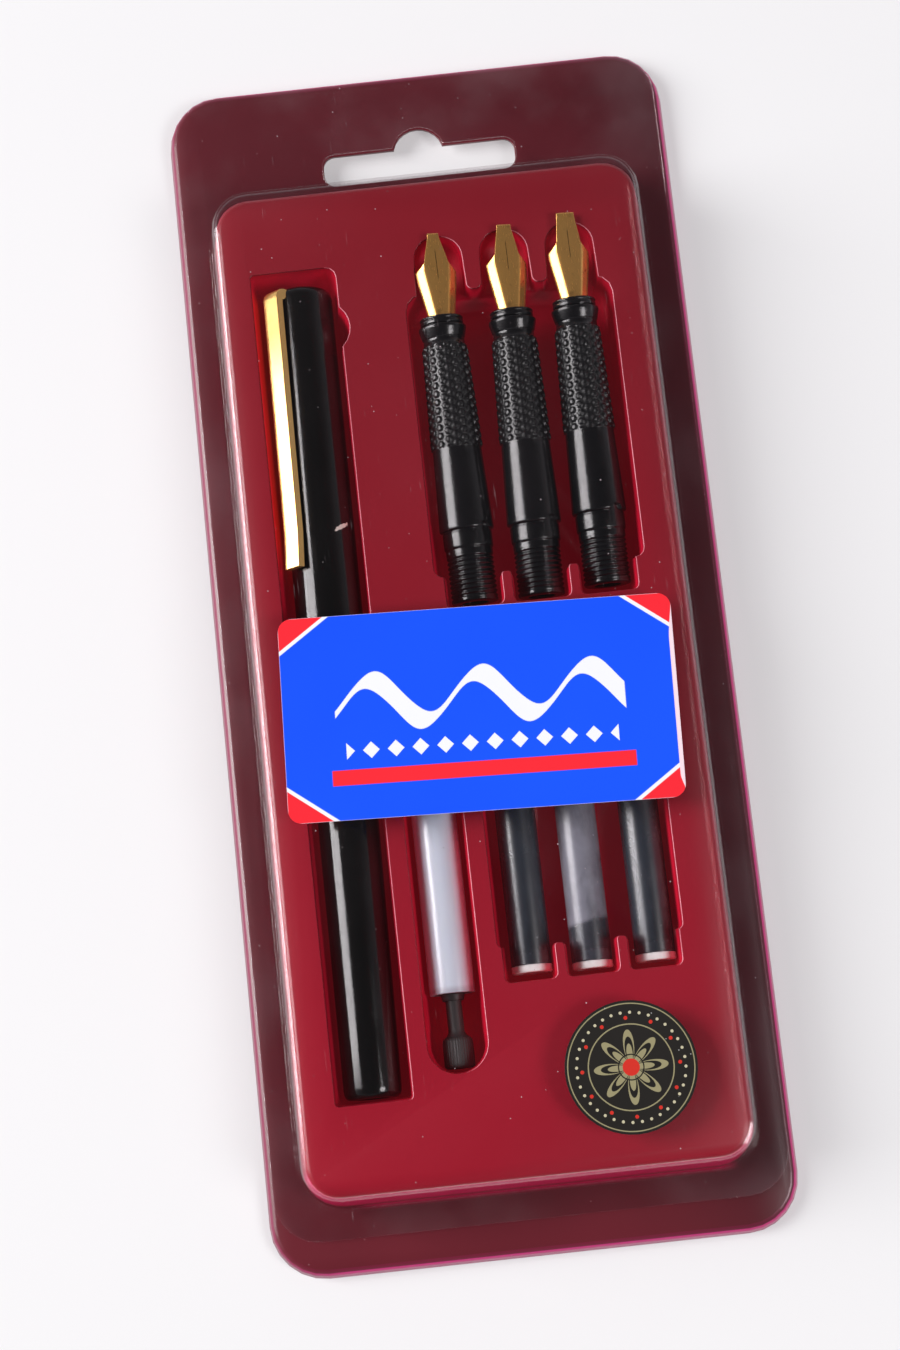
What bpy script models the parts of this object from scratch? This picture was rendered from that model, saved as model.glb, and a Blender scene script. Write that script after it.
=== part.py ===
"""Calligraphy set box: a thermoformed tray with a clear blister cover, holding a capped fountain
pen, three italic nib sections, a piston converter and three ink cartridges.

Metres, +Z up. The box lies on its back: X is its width, +Y its hanging end. The origin is the
middle of the footprint, on the surface that the tray's skirt stands on.
"""

import math

import bmesh
import bpy
from mathutils import Matrix, Vector

# Sheets, clearances and the shared working values
TRAY_SHEET = 0.0006
COVER_SHEET = 0.00045
STICKER_SHEET = 0.00012
SEAT_GAP = 0.0003
STICKER_GAP = 0.00005
RUNNING_GAP = 0.00008
OVERRUN = 0.002
LEAST_CORNER = 0.0001
MERGE_DISTANCE = 0.000001

# Pen: its turned sizes, along its axis from the mouth of the cap
PEN_TURN = math.radians(-0.5)
PEN_FLOOR = 0.0014
CAP_LENGTH = 0.0616
CAP_RADIUS = 0.0056
CAP_TAPER = 0.0003
CAP_WALL = 0.0007
CAP_HEAD_THICKNESS = 0.0056
CAP_CROWN = 0.0007
CAP_EDGE = 0.0011
BARREL_LENGTH = 0.0745
BARREL_SHOULDER = 0.0004
BARREL_TAPER = 0.0005
BARREL_EDGE = 0.0009
BARREL_WALL = 0.0011
BARREL_END_THICKNESS = 0.0175
SPIGOT_GAP = 0.0002
SPIGOT_LENGTH = 0.0080
SPIGOT_CHAMFER = 0.0005
CAP_BORE = CAP_RADIUS - CAP_WALL
CAP_BORE_DEPTH = CAP_LENGTH - CAP_HEAD_THICKNESS
BARREL_MOUTH_RADIUS = CAP_RADIUS - BARREL_SHOULDER
BARREL_END_RADIUS = BARREL_MOUTH_RADIUS - BARREL_TAPER
BARREL_BORE = BARREL_MOUTH_RADIUS - BARREL_WALL
BARREL_BORE_DEPTH = SPIGOT_LENGTH + BARREL_LENGTH - BARREL_END_THICKNESS
SPIGOT_RADIUS = CAP_BORE - SPIGOT_GAP

# Clip: a folded channel on the cap, seen from the pen's axis
CLIP_ANGLE = math.radians(43.5)
CLIP_STAND = 0.0015
CLIP_WIDTH = 0.0034
CLIP_DEPTH = 0.0013
CLIP_SHEET = 0.0004
CLIP_SETBACK = 0.0010
CLIP_LENGTH = 0.0482
CLIP_BEND = 0.0016
CLIP_FLARE = 0.0004
CLIP_FLARE_LENGTH = 0.0060
CLIP_TANG = 0.0012
CLIP_TANG_LENGTH = 0.0012
CLIP_SEAT_LENGTH = 0.0022
CLIP_RADIUS = CAP_RADIUS + CLIP_STAND
CLIP_TOP = CAP_LENGTH - CLIP_SETBACK

# Nib sections, from the threaded rear end forward along each axis
THREAD_RADIUS = 0.00395
THREAD_LENGTH = 0.0092
COLLAR_STEP = 0.00015
COLLAR_LENGTH = 0.0030
SHOULDER_RADIUS = 0.00455
SMOOTH_LENGTH = 0.0138
GRIP_REAR_RADIUS = 0.0041
GRIP_FRONT_RADIUS = 0.0037
GRIP_LENGTH = 0.0178
STUD_HEIGHT = 0.00032
STUD_ROWS = 20
STUD_COLUMNS = 28
NECK_RADIUS = 0.0036
NECK_LENGTH = 0.0012
BEAD_RADIUS = 0.0040
BEAD_LENGTH = 0.0023
LIP_RADIUS = 0.0036
LIP_LENGTH = 0.0012
GROOVE_DEPTH = 0.0004
FRONT_EDGE = 0.0004
SECTION_BORE = 0.0026
SECTION_BORE_DEPTH = 0.0080
NIPPLE_BORE = 0.0022
NIPPLE_BORE_DEPTH = 0.0140
INK_BORE = 0.0007
COLLAR_RADIUS = THREAD_RADIUS + COLLAR_STEP
SECTION_LENGTH = (
    THREAD_LENGTH + COLLAR_LENGTH + SMOOTH_LENGTH + GRIP_LENGTH + NECK_LENGTH + BEAD_LENGTH + LIP_LENGTH
)

# How each section lies: how far it has slipped forward, its swing, its roll, and its nib
SECTION_SLIPS = (0.0, -0.0001, 0.0006)
SECTION_TURNS = (math.radians(0.63), math.radians(-0.2), math.radians(0.35))
SECTION_ROLLS = (math.radians(13), math.radians(12), math.radians(11))
NIB_LENGTHS = (0.0144, 0.0147, 0.0149)
TIP_WIDTHS = (0.0019, 0.0024, 0.0030)

# Nib: a folded plate, in stations from its root inside the section
NIB_SHEET = 0.00035
NIB_ROOT = 0.0060
NIB_HEIGHT = 0.0015
NIB_DROP = 0.0005
NIB_FOLD = math.radians(40)
NIB_ROOT_FACE = 0.0012
NIB_BODY_FACE = 0.0019
NIB_ROOT_WING = 0.0012
NIB_BODY_WING = 0.0017
NIB_SLIT_WIDTH = 0.00014
NIB_SLIT_LENGTH = 0.0078
NIB_BODY_SHARE = 0.56
NIB_NECK_SHARE = 0.80

# Feed: a half-round finned bar under the nib
FEED_RADIUS = 0.0019
FEED_TIP_RADIUS = 0.0009
FEED_REACH = 0.0090
FEED_FINS = 5
FEED_FIN_DEPTH = 0.0003
FEED_FIN_PITCH = 0.0011

# Converter, along its axis from its knob end
KNOB_RADIUS = 0.0025
KNOB_LENGTH = 0.0048
KNOB_EDGE = 0.0004
KNOB_CONE_LENGTH = 0.0008
KNOB_DIMPLE = 0.0009
ROD_RADIUS = 0.0013
ROD_SHOWING = 0.0053
ROD_INSIDE = 0.0120
BUSH_RADIUS = 0.0020
BUSH_STEM_RADIUS = 0.0017
BUSH_LENGTH = 0.0011
BUSH_SPIGOT = 0.0025
BUSH_GAP = 0.0002
TUBE_RADIUS = 0.0037
TUBE_WALL = 0.0006
TUBE_LENGTH = 0.0500
PISTON_LENGTH = 0.0060
PISTON_WAIST_SHARE = 0.8
MOUTH_RADIUS = 0.0035
MOUTH_TIP_RADIUS = 0.0029
MOUTH_LENGTH = 0.0070
MOUTH_SPIGOT = 0.0040
MOUTH_BORE = 0.0014
BUSH_BORE = ROD_RADIUS + BUSH_GAP
TUBE_BORE = TUBE_RADIUS - TUBE_WALL
CONVERTER_LENGTH = (
    KNOB_LENGTH + KNOB_CONE_LENGTH + ROD_SHOWING + BUSH_LENGTH + TUBE_LENGTH + RUNNING_GAP + MOUTH_LENGTH
)

# Cartridges, from their closed ends: how far each has slipped forward, its place in its slot, its ink
CARTRIDGE_RADIUS = 0.0033
CARTRIDGE_WALL = 0.00045
CARTRIDGE_LENGTH = 0.0380
CARTRIDGE_SHOULDER = 0.0020
CARTRIDGE_NECK_RADIUS = 0.0020
CARTRIDGE_NECK_LENGTH = 0.0045
PLUG_BAND = 0.0012
PLUG_EDGE = 0.0003
PLUG_SPIGOT = 0.0018
BALL_RADIUS = 0.00145
CARTRIDGE_SLIPS = (0.0004, 0.0, 0.0002)
CARTRIDGE_SHIFTS = (0.00035, 0.0001, 0.00035)
INK_SHARES = (0.99, 0.27, 0.99)

# Pockets across the tray, from the blister's left: borders, lands between them, and room for pieces
POCKET_DRAFT = math.radians(5)
POCKET_CORNER = 0.0010
TONGUE_CORNER = 0.0005
TONGUE_LAP = 0.00005
COMB_LAP = 0.0030
LEFT_BORDER = 0.0052
RIGHT_BORDER = 0.0073
CLIP_ROOM = 0.0003
CAP_ROOM = 0.0014
BARREL_LEFT_ROOM = 0.0014
BARREL_RIGHT_ROOM = 0.0007
CONVERTER_LAND = 0.00295
CONVERTER_ROOM = 0.0012
CARTRIDGE_LAND = 0.00305
CARTRIDGE_ROOM = 0.00095
CARTRIDGE_RIDGE = 0.00155
CARTRIDGE_MARGIN = 0.0007
NIB_SHIFT = 0.0012
SECTION_ROOM = 0.00175
THREAD_ROOM = 0.0008
THREAD_RIDGE = 0.0016
CONVERTER_POCKET_WIDTH = 2 * (TUBE_RADIUS + CONVERTER_ROOM)
CARTRIDGE_SLOT_WIDTH = 2 * (CARTRIDGE_RADIUS + CARTRIDGE_ROOM)
CARTRIDGE_PITCH = CARTRIDGE_SLOT_WIDTH + CARTRIDGE_RIDGE
CARTRIDGE_POCKET_WIDTH = CARTRIDGE_SLOT_WIDTH + 2 * (CARTRIDGE_PITCH + CARTRIDGE_MARGIN)
THREAD_SLOT_WIDTH = 2 * (THREAD_RADIUS + THREAD_ROOM)
NIB_PITCH = THREAD_SLOT_WIDTH + THREAD_RIDGE
PEN_INSET = LEFT_BORDER + CLIP_ROOM + CLIP_RADIUS
PEN_SPACE = BARREL_MOUTH_RADIUS + BARREL_RIGHT_ROOM
BLISTER_WIDTH = (
    PEN_INSET + PEN_SPACE + CONVERTER_LAND + CONVERTER_POCKET_WIDTH + CARTRIDGE_LAND
    + CARTRIDGE_POCKET_WIDTH + RIGHT_BORDER
)
PEN_X = PEN_INSET - BLISTER_WIDTH / 2
CAP_POCKET_LEFT = LEFT_BORDER - BLISTER_WIDTH / 2
CAP_POCKET_RIGHT = PEN_X + CAP_RADIUS + CAP_ROOM
BARREL_POCKET_LEFT = PEN_X - BARREL_MOUTH_RADIUS - BARREL_LEFT_ROOM
BARREL_POCKET_RIGHT = PEN_X + PEN_SPACE
CONVERTER_X = BARREL_POCKET_RIGHT + CONVERTER_LAND + CONVERTER_POCKET_WIDTH / 2
CARTRIDGE_POCKET_RIGHT = BLISTER_WIDTH / 2 - RIGHT_BORDER
CARTRIDGE_POCKET_LEFT = CARTRIDGE_POCKET_RIGHT - CARTRIDGE_POCKET_WIDTH
CARTRIDGE_MIDDLE_X = (CARTRIDGE_POCKET_LEFT + CARTRIDGE_POCKET_RIGHT) / 2
NIB_MIDDLE_X = CARTRIDGE_MIDDLE_X - NIB_SHIFT
NIB_POCKET_LEFT = NIB_MIDDLE_X - NIB_PITCH - SHOULDER_RADIUS - SECTION_ROOM
NIB_POCKET_RIGHT = NIB_MIDDLE_X + NIB_PITCH + SHOULDER_RADIUS + SECTION_ROOM

# Pockets along the tray, from the foot of the pen's pocket
FOOT_BORDER = 0.0146
HEAD_BORDER = 0.0104
PEN_FOOT_ROOM = 0.0009
PEN_HEAD_ROOM = 0.0019
CAP_STEP = 0.0068
CONVERTER_SETBACK = 0.0032
CONVERTER_FOOT_ROOM = 0.0010
CONVERTER_HEAD_ROOM = 0.0038
CARTRIDGE_SETBACK = 0.0166
CARTRIDGE_FOOT_ROOM = 0.0012
CARTRIDGE_HEAD_ROOM = 0.0019
CARTRIDGE_SLOT_LENGTH = 0.0057
LABEL_LAND = 0.0208
THREAD_FOOT_ROOM = 0.0016
THREAD_SLOT_LENGTH = 0.0054
NIB_HEAD_ROOM = 0.0041
NIB_SLOT_LENGTH = 0.0098
PEN_STACK = PEN_FOOT_ROOM + BARREL_LENGTH + SEAT_GAP + CAP_LENGTH + PEN_HEAD_ROOM
CARTRIDGE_STACK = CARTRIDGE_SETBACK + CARTRIDGE_FOOT_ROOM + CARTRIDGE_LENGTH + CARTRIDGE_HEAD_ROOM
THREAD_STACK = CARTRIDGE_STACK + LABEL_LAND
NIB_STACK = THREAD_STACK + THREAD_FOOT_ROOM + SECTION_LENGTH + NIB_HEAD_ROOM + NIB_SLOT_LENGTH
BLISTER_LENGTH = FOOT_BORDER + max(PEN_STACK, NIB_STACK) + HEAD_BORDER

# Hanging slot: a bar with rounded ends, and a round hump on its upper edge
SLOT_WIDTH = 0.0332
SLOT_HEIGHT = 0.0054
SLOT_CORNER = 0.0020
SLOT_SETBACK = 0.0042
SLOT_BORDER = 0.0105
HUMP_RADIUS = 0.0043
HUMP_RISE = 0.0034
COVER_SLOT_MARGIN = 0.0002

# Tray and cover round the pockets
ISLAND_TOP = 0.0125
ISLAND_DRAFT = math.radians(8)
ISLAND_EDGE = 0.0008
ISLAND_GAP = 0.0004
HEADROOM = 0.0037
BLISTER_CORNER = 0.0058
BLISTER_EDGE = 0.0011
BLISTER_DRAFT = math.radians(8)
FLANGE_HEIGHT = 0.0026
SKIRT_DRAFT = math.radians(14)
SKIRT_EDGE = 0.0008
TRAY_CORNER = 0.0090
SIDE_FLANGE = 0.0072
FOOT_FLANGE = 0.0120
COVER_CORNER = 0.0072
COVER_SIDE_INSET = 0.0013
COVER_FOOT_INSET = 0.0059
COVER_HEAD_INSET = 0.0011
BLISTER_TOP = ISLAND_TOP + HEADROOM
HEAD_FLANGE = SLOT_SETBACK + SLOT_HEIGHT + HUMP_RISE + SLOT_BORDER
TRAY_WIDTH = BLISTER_WIDTH + 2 * SIDE_FLANGE
TRAY_LENGTH = FOOT_FLANGE + BLISTER_LENGTH + HEAD_FLANGE
BLISTER_FOOT = FOOT_FLANGE - TRAY_LENGTH / 2
BLISTER_HEAD = BLISTER_FOOT + BLISTER_LENGTH
SLOT_FOOT = BLISTER_HEAD + SLOT_SETBACK
SLOT_HEAD = SLOT_FOOT + SLOT_HEIGHT
COVER_WIDTH = TRAY_WIDTH - 2 * COVER_SIDE_INSET
COVER_FOOT = COVER_FOOT_INSET - TRAY_LENGTH / 2
COVER_HEAD = TRAY_LENGTH / 2 - COVER_HEAD_INSET

# Where the pockets come to lie
BARREL_POCKET_FOOT = BLISTER_FOOT + FOOT_BORDER
PEN_MOUTH_Y = BARREL_POCKET_FOOT + PEN_FOOT_ROOM + BARREL_LENGTH + SEAT_GAP
PEN_POCKET_CORNER = 0.0006
CAP_POCKET_CORNER = 0.0018
CAP_POCKET_FOOT = PEN_MOUTH_Y - CAP_STEP
CAP_POCKET_HEAD = BARREL_POCKET_FOOT + PEN_STACK
NOTCH_RADIUS = 0.0047
NOTCH_INSET = 0.0032
NOTCH_SETBACK = 0.0106
NOTCH_X = CAP_POCKET_RIGHT - NOTCH_INSET
NOTCH_Y = CAP_POCKET_HEAD - NOTCH_SETBACK
CONVERTER_FLOOR = 0.0034
CONVERTER_POCKET_FOOT = BARREL_POCKET_FOOT + CONVERTER_SETBACK
CONVERTER_KNOB_END = CONVERTER_POCKET_FOOT + CONVERTER_FOOT_ROOM
CONVERTER_POCKET_HEAD = CONVERTER_KNOB_END + CONVERTER_LENGTH + CONVERTER_HEAD_ROOM
CARTRIDGE_FLOOR = 0.0036
CARTRIDGE_SLOT_FOOT = BARREL_POCKET_FOOT + CARTRIDGE_SETBACK
CARTRIDGE_END = CARTRIDGE_SLOT_FOOT + CARTRIDGE_FOOT_ROOM
CARTRIDGE_POCKET_FOOT = CARTRIDGE_SLOT_FOOT + CARTRIDGE_SLOT_LENGTH
CARTRIDGE_POCKET_HEAD = BARREL_POCKET_FOOT + CARTRIDGE_STACK
NIB_FLOOR = 0.0030
NIB_SLOT_FLOOR = 0.0078
NIB_POCKET_CORNER = 0.0030
NIB_FOOT_CORNER = 0.0015
NIB_SLOT_MOUTH = 0.0086
NIB_SLOT_END = 0.0078
NIB_TONGUE_CORNER = 0.0011
NIB_SLOT_CORNER = 0.0038
THREAD_SLOT_FOOT = BARREL_POCKET_FOOT + THREAD_STACK
SECTION_REAR = THREAD_SLOT_FOOT + THREAD_FOOT_ROOM
NIB_POCKET_FOOT = THREAD_SLOT_FOOT + THREAD_SLOT_LENGTH
NIB_POCKET_HEAD = SECTION_REAR + SECTION_LENGTH + NIB_HEAD_ROOM
NIB_SLOT_HEAD = NIB_POCKET_HEAD + NIB_SLOT_LENGTH

# Stickers on the cover
LABEL_MARGIN = 0.0038
LABEL_HEIGHT = 0.0336
LABEL_CORNER = 0.0022
LABEL_RAISE = 0.0755
LABEL_TURN = math.radians(-2.15)
SEAL_RADIUS = 0.0105
SEAL_INSET = 0.0184
SEAL_RAISE = 0.0158
LABEL_WIDTH = BLISTER_WIDTH - 2 * LABEL_MARGIN
LABEL_Y = BLISTER_FOOT + LABEL_RAISE
SEAL_X = BLISTER_WIDTH / 2 - SEAL_INSET
SEAL_Y = BLISTER_FOOT + SEAL_RAISE

# Facets
CORNER_STEPS = 6
SMALL_CORNER_STEPS = 3
END_STEPS = 8
PEN_SIDES = 32
CARTRIDGE_SIDES = 24
ROD_SIDES = 16
SEAL_SIDES = 48
NOTCH_SIDES = 24
HUMP_SIDES = 24
SHARP_ANGLE = math.radians(40)
QUARTER = math.pi / 2
FULL_TURN = 2 * math.pi


# Scene and materials


def clear_scene():
    for obj in list(bpy.data.objects):
        bpy.data.objects.remove(obj, do_unlink=True)


def new_collection(name, parent, hidden=False):
    collection = bpy.data.collections.new(name)
    parent.children.link(collection)
    collection.hide_render = hidden
    return collection


def material(name, colour, roughness, metallic=0.0, alpha=1.0):
    made = bpy.data.materials.new(name)
    made.use_nodes = True
    shader = made.node_tree.nodes["Principled BSDF"]
    shader.inputs["Base Color"].default_value = (*colour, 1)
    shader.inputs["Roughness"].default_value = roughness
    shader.inputs["Metallic"].default_value = metallic
    shader.inputs["Alpha"].default_value = alpha
    made.diffuse_color = (*colour, alpha)
    return made


def add_object(name, mesh, collection, finish=None, parent=None, location=(0, 0, 0)):
    obj = bpy.data.objects.new(name, mesh)
    collection.objects.link(obj)
    if finish is not None:
        mesh.materials.append(finish)
    obj.parent = parent
    obj.location = location
    return obj


def axis_empty(name, collection, location, rotation):
    """An empty whose own +Z is the axis that turned pieces are built on."""
    empty = bpy.data.objects.new(name, None)
    collection.objects.link(empty)
    empty.location = location
    empty.rotation_euler = rotation
    return empty


def along_y(tilt=0, turn=0):
    """Turns +Z to +Y, then lifts the far end by tilt and swings it to the left by turn."""
    return (tilt - QUARTER, 0, turn)


def make_cutter(obj):
    obj.hide_render = True
    obj.display_type = "WIRE"
    return obj


def boolean(obj, name, operation, cutter):
    """Joins or cuts obj by one object, or by all objects of a collection."""
    modifier = obj.modifiers.new(name, "BOOLEAN")
    modifier.operation = operation
    modifier.solver = "EXACT"
    if isinstance(cutter, bpy.types.Collection):
        modifier.operand_type = "COLLECTION"
        modifier.collection = cutter
    else:
        modifier.object = cutter
    return modifier


# Outlines in the plane


def rounded_outline(corners, offset=0, steps=CORNER_STEPS):
    """An outline of (x, y, radius) corners, anticlockwise, moved outward by offset.

    A hollow corner has a negative radius.
    """
    points = []
    count = len(corners)
    for i in range(count):
        before, here, after = corners[i - 1], corners[i], corners[(i + 1) % count]
        entry = Vector((here[0] - before[0], here[1] - before[1])).normalized()
        leave = Vector((after[0] - here[0], after[1] - here[1])).normalized()
        turn = entry.angle_signed(leave, 0) * -1
        reach = math.tan(turn / 2)
        radius = here[2]
        outward = Vector((entry.y, -entry.x))
        start = Vector(here[:2]) - entry * radius * reach
        centre = start - outward * radius
        side = math.copysign(1, radius)
        swept = side * max(side * (radius + offset), LEAST_CORNER)
        centre += (outward + entry * reach) * (radius + offset - swept)
        first = math.atan2(outward.y, outward.x)
        for k in range(steps + 1):
            angle = first + turn * k / steps
            points.append((centre.x + swept * math.cos(angle), centre.y + swept * math.sin(angle)))
    return points


def box_corners(left, right, foot, head, radius, head_radius=None, inward=0):
    """Corners of a rectangle for rounded_outline, its head narrower by inward on each side."""
    top = radius if head_radius is None else head_radius
    return [
        (left, foot, radius),
        (right, foot, radius),
        (right - inward, head, top),
        (left + inward, head, top),
    ]


def circle_outline(x, y, radius, sides, start=0.0):
    """Points of a circle, anticlockwise."""
    angles = [start + FULL_TURN * i / sides for i in range(sides)]
    return [(x + radius * math.cos(a), y + radius * math.sin(a)) for a in angles]


def prism(name, low_outline, low, high_outline, high, bevel=0, segments=2):
    """A closed loft between two outlines of as many points, with an optional rounded upper edge."""
    bm = bmesh.new()
    foot = [bm.verts.new((x, y, low)) for x, y in low_outline]
    head = [bm.verts.new((x, y, high)) for x, y in high_outline]
    bm.faces.new(list(reversed(foot)))
    top_face = bm.faces.new(head)
    for i in range(len(foot)):
        bm.faces.new((foot[i - 1], foot[i], head[i], head[i - 1]))
    bmesh.ops.recalc_face_normals(bm, faces=bm.faces)
    if bevel:
        bmesh.ops.bevel(
            bm, geom=list(top_face.edges), offset=bevel, segments=segments, profile=0.5,
            affect="EDGES", clamp_overlap=True,
        )
    mesh = bpy.data.meshes.new(name)
    bm.to_mesh(mesh)
    bm.free()
    return mesh


def drafted(name, corners, low, high, draft, top_offset=0, steps=CORNER_STEPS, bevel=0, narrow_top=True):
    """A prism whose top has the outline's size plus top_offset, and whose walls lean by draft."""
    spread = (high - low) * math.tan(draft) * (1 if narrow_top else -1)
    return prism(
        name,
        rounded_outline(corners, top_offset + spread, steps), low,
        rounded_outline(corners, top_offset, steps), high,
        bevel,
    )


# Turned pieces


def turned(name, profile, sides, collection, finish, parent, height=0.0):
    """A profile of (radius, height) points, running down its outer side, turned about +Z."""
    mesh = bpy.data.meshes.new(name)
    edges = [(i, i + 1) for i in range(len(profile) - 1)]
    mesh.from_pydata([(r, 0, z) for r, z in profile], edges, [])
    obj = add_object(name, mesh, collection, finish, parent, (0, 0, height))
    screw = obj.modifiers.new("turn", "SCREW")
    screw.steps = sides
    screw.render_steps = sides
    screw.use_merge_vertices = True
    screw.merge_threshold = MERGE_DISTANCE
    screw.use_smooth_shade = True
    return obj


def fillet(centre_r, centre_z, radius, start, end, steps=3):
    """Points of a profile's rounded corner, about its centre."""
    angles = [start + (end - start) * k / steps for k in range(steps + 1)]
    return [(centre_r + radius * math.cos(a), centre_z + radius * math.sin(a)) for a in angles]


# Tray


def tray_corners():
    half_width, half_length = TRAY_WIDTH / 2, TRAY_LENGTH / 2
    return box_corners(-half_width, half_width, -half_length, half_length, TRAY_CORNER)


def blister_corners():
    return box_corners(-BLISTER_WIDTH / 2, BLISTER_WIDTH / 2, BLISTER_FOOT, BLISTER_HEAD, BLISTER_CORNER)


def island_margin():
    """How far the island's top outline lies inside the blister's, measured at the island's height."""
    growth = (BLISTER_TOP - ISLAND_TOP) * math.tan(BLISTER_DRAFT)
    return growth - (COVER_SHEET + ISLAND_GAP) / math.cos(BLISTER_DRAFT)


def slot_meshes(name, low, high, margin=0.0):
    """The hanging slot's bar and hump, through everything between two heights."""
    half = SLOT_WIDTH / 2
    bar = rounded_outline(box_corners(-half, half, SLOT_FOOT, SLOT_HEAD, SLOT_CORNER), margin)
    hump = circle_outline(0, SLOT_HEAD + HUMP_RISE - HUMP_RADIUS, HUMP_RADIUS + margin, HUMP_SIDES)
    return [
        prism(name + "_bar", bar, low, bar, high),
        prism(name + "_hump", hump, low, hump, high),
    ]


def nib_centres():
    """Where the nib sections' slots lie across the tray."""
    return [NIB_MIDDLE_X + NIB_PITCH * i for i in (-1, 0, 1)]


def comb_corners(centres, mouth, end, line, reach, corner, tongue):
    """Slots side by side over a pocket's edge line, joined inside it, with rounded tongues between."""
    way = math.copysign(1, reach)
    edge = line + TONGUE_LAP * way
    inside = line - COMB_LAP * way
    order = sorted(centres, reverse=way > 0)
    half_mouth, half_end = way * mouth / 2, way * end / 2
    points = [(order[0] + half_mouth, inside, LEAST_CORNER)]
    for x in order:
        if x != order[0]:
            points.append((x + half_mouth, edge, -tongue))
        points += [(x + half_end, line + reach, corner), (x - half_end, line + reach, corner)]
        if x != order[-1]:
            points.append((x - half_mouth, edge, -tongue))
    points.append((order[-1] - half_mouth, inside, LEAST_CORNER))
    return points


def cartridge_centres():
    """Where the cartridges' slots lie across the tray."""
    return [CARTRIDGE_MIDDLE_X + CARTRIDGE_PITCH * i for i in (-1, 0, 1)]


def pocket_plan():
    """Every pocket as (name, corners at the island's top, floor height)."""
    plan = [
        (
            "cap",
            [
                (CAP_POCKET_LEFT, CAP_POCKET_FOOT, PEN_POCKET_CORNER),
                (CAP_POCKET_RIGHT, CAP_POCKET_FOOT, PEN_POCKET_CORNER),
                (CAP_POCKET_RIGHT, CAP_POCKET_HEAD, CAP_POCKET_CORNER),
                (CAP_POCKET_LEFT, CAP_POCKET_HEAD, PEN_POCKET_CORNER),
            ],
            PEN_FLOOR,
        ),
        (
            "barrel",
            box_corners(
                BARREL_POCKET_LEFT, BARREL_POCKET_RIGHT, BARREL_POCKET_FOOT, CAP_POCKET_FOOT + OVERRUN,
                PEN_POCKET_CORNER,
            ),
            PEN_FLOOR,
        ),
        (
            "nibs",
            box_corners(
                NIB_POCKET_LEFT, NIB_POCKET_RIGHT, NIB_POCKET_FOOT, NIB_POCKET_HEAD, NIB_FOOT_CORNER,
                NIB_POCKET_CORNER,
            ),
            NIB_FLOOR,
        ),
        (
            "converter",
            box_corners(
                CONVERTER_X - CONVERTER_POCKET_WIDTH / 2, CONVERTER_X + CONVERTER_POCKET_WIDTH / 2,
                CONVERTER_POCKET_FOOT, CONVERTER_POCKET_HEAD, CONVERTER_POCKET_WIDTH / 2, POCKET_CORNER,
            ),
            CONVERTER_FLOOR,
        ),
        (
            "cartridges",
            box_corners(
                CARTRIDGE_POCKET_LEFT, CARTRIDGE_POCKET_RIGHT, CARTRIDGE_POCKET_FOOT, CARTRIDGE_POCKET_HEAD,
                POCKET_CORNER,
            ),
            CARTRIDGE_FLOOR,
        ),
    ]
    nib_slots = comb_corners(
        nib_centres(), NIB_SLOT_MOUTH, NIB_SLOT_END, NIB_POCKET_HEAD, NIB_SLOT_LENGTH,
        NIB_SLOT_CORNER, NIB_TONGUE_CORNER,
    )
    thread_slots = comb_corners(
        nib_centres(), THREAD_SLOT_WIDTH, THREAD_SLOT_WIDTH, NIB_POCKET_FOOT, -THREAD_SLOT_LENGTH,
        POCKET_CORNER, TONGUE_CORNER,
    )
    cartridge_slots = comb_corners(
        cartridge_centres(), CARTRIDGE_SLOT_WIDTH, CARTRIDGE_SLOT_WIDTH, CARTRIDGE_POCKET_FOOT,
        -CARTRIDGE_SLOT_LENGTH, POCKET_CORNER, TONGUE_CORNER,
    )
    plan += [
        ("nib_slots", nib_slots, NIB_SLOT_FLOOR),
        ("thread_slots", thread_slots, NIB_FLOOR),
        ("cartridge_slots", cartridge_slots, CARTRIDGE_FLOOR),
    ]
    return plan


def pocket_mesh(name, corners, floor, grow, top, steps):
    """A pocket's space, or with grow its sheet's outer side, from its floor up to top."""
    at_top = grow + (top - ISLAND_TOP) * math.tan(POCKET_DRAFT)
    return drafted(name, corners, floor, top, POCKET_DRAFT, at_top, steps, narrow_top=False)


def notch_meshes():
    """The finger notch beside the cap: its sheet's outer side, and its space."""
    lean = math.tan(POCKET_DRAFT)
    made = []
    for name, grow, low, high in (
        ("notch_wall", TRAY_SHEET, PEN_FLOOR - TRAY_SHEET, ISLAND_TOP - TRAY_SHEET / 2),
        ("notch_space", 0, PEN_FLOOR, ISLAND_TOP + OVERRUN),
    ):
        rings = [
            circle_outline(NOTCH_X, NOTCH_Y, NOTCH_RADIUS + grow + (z - ISLAND_TOP) * lean, NOTCH_SIDES)
            for z in (low, high)
        ]
        made.append(prism(name, rings[0], low, rings[1], high))
    return made


def corner_steps(corners):
    """Few facets on tight corners, more on wide ones."""
    return END_STEPS if max(c[2] for c in corners) > NIB_POCKET_CORNER else SMALL_CORNER_STEPS


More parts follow.
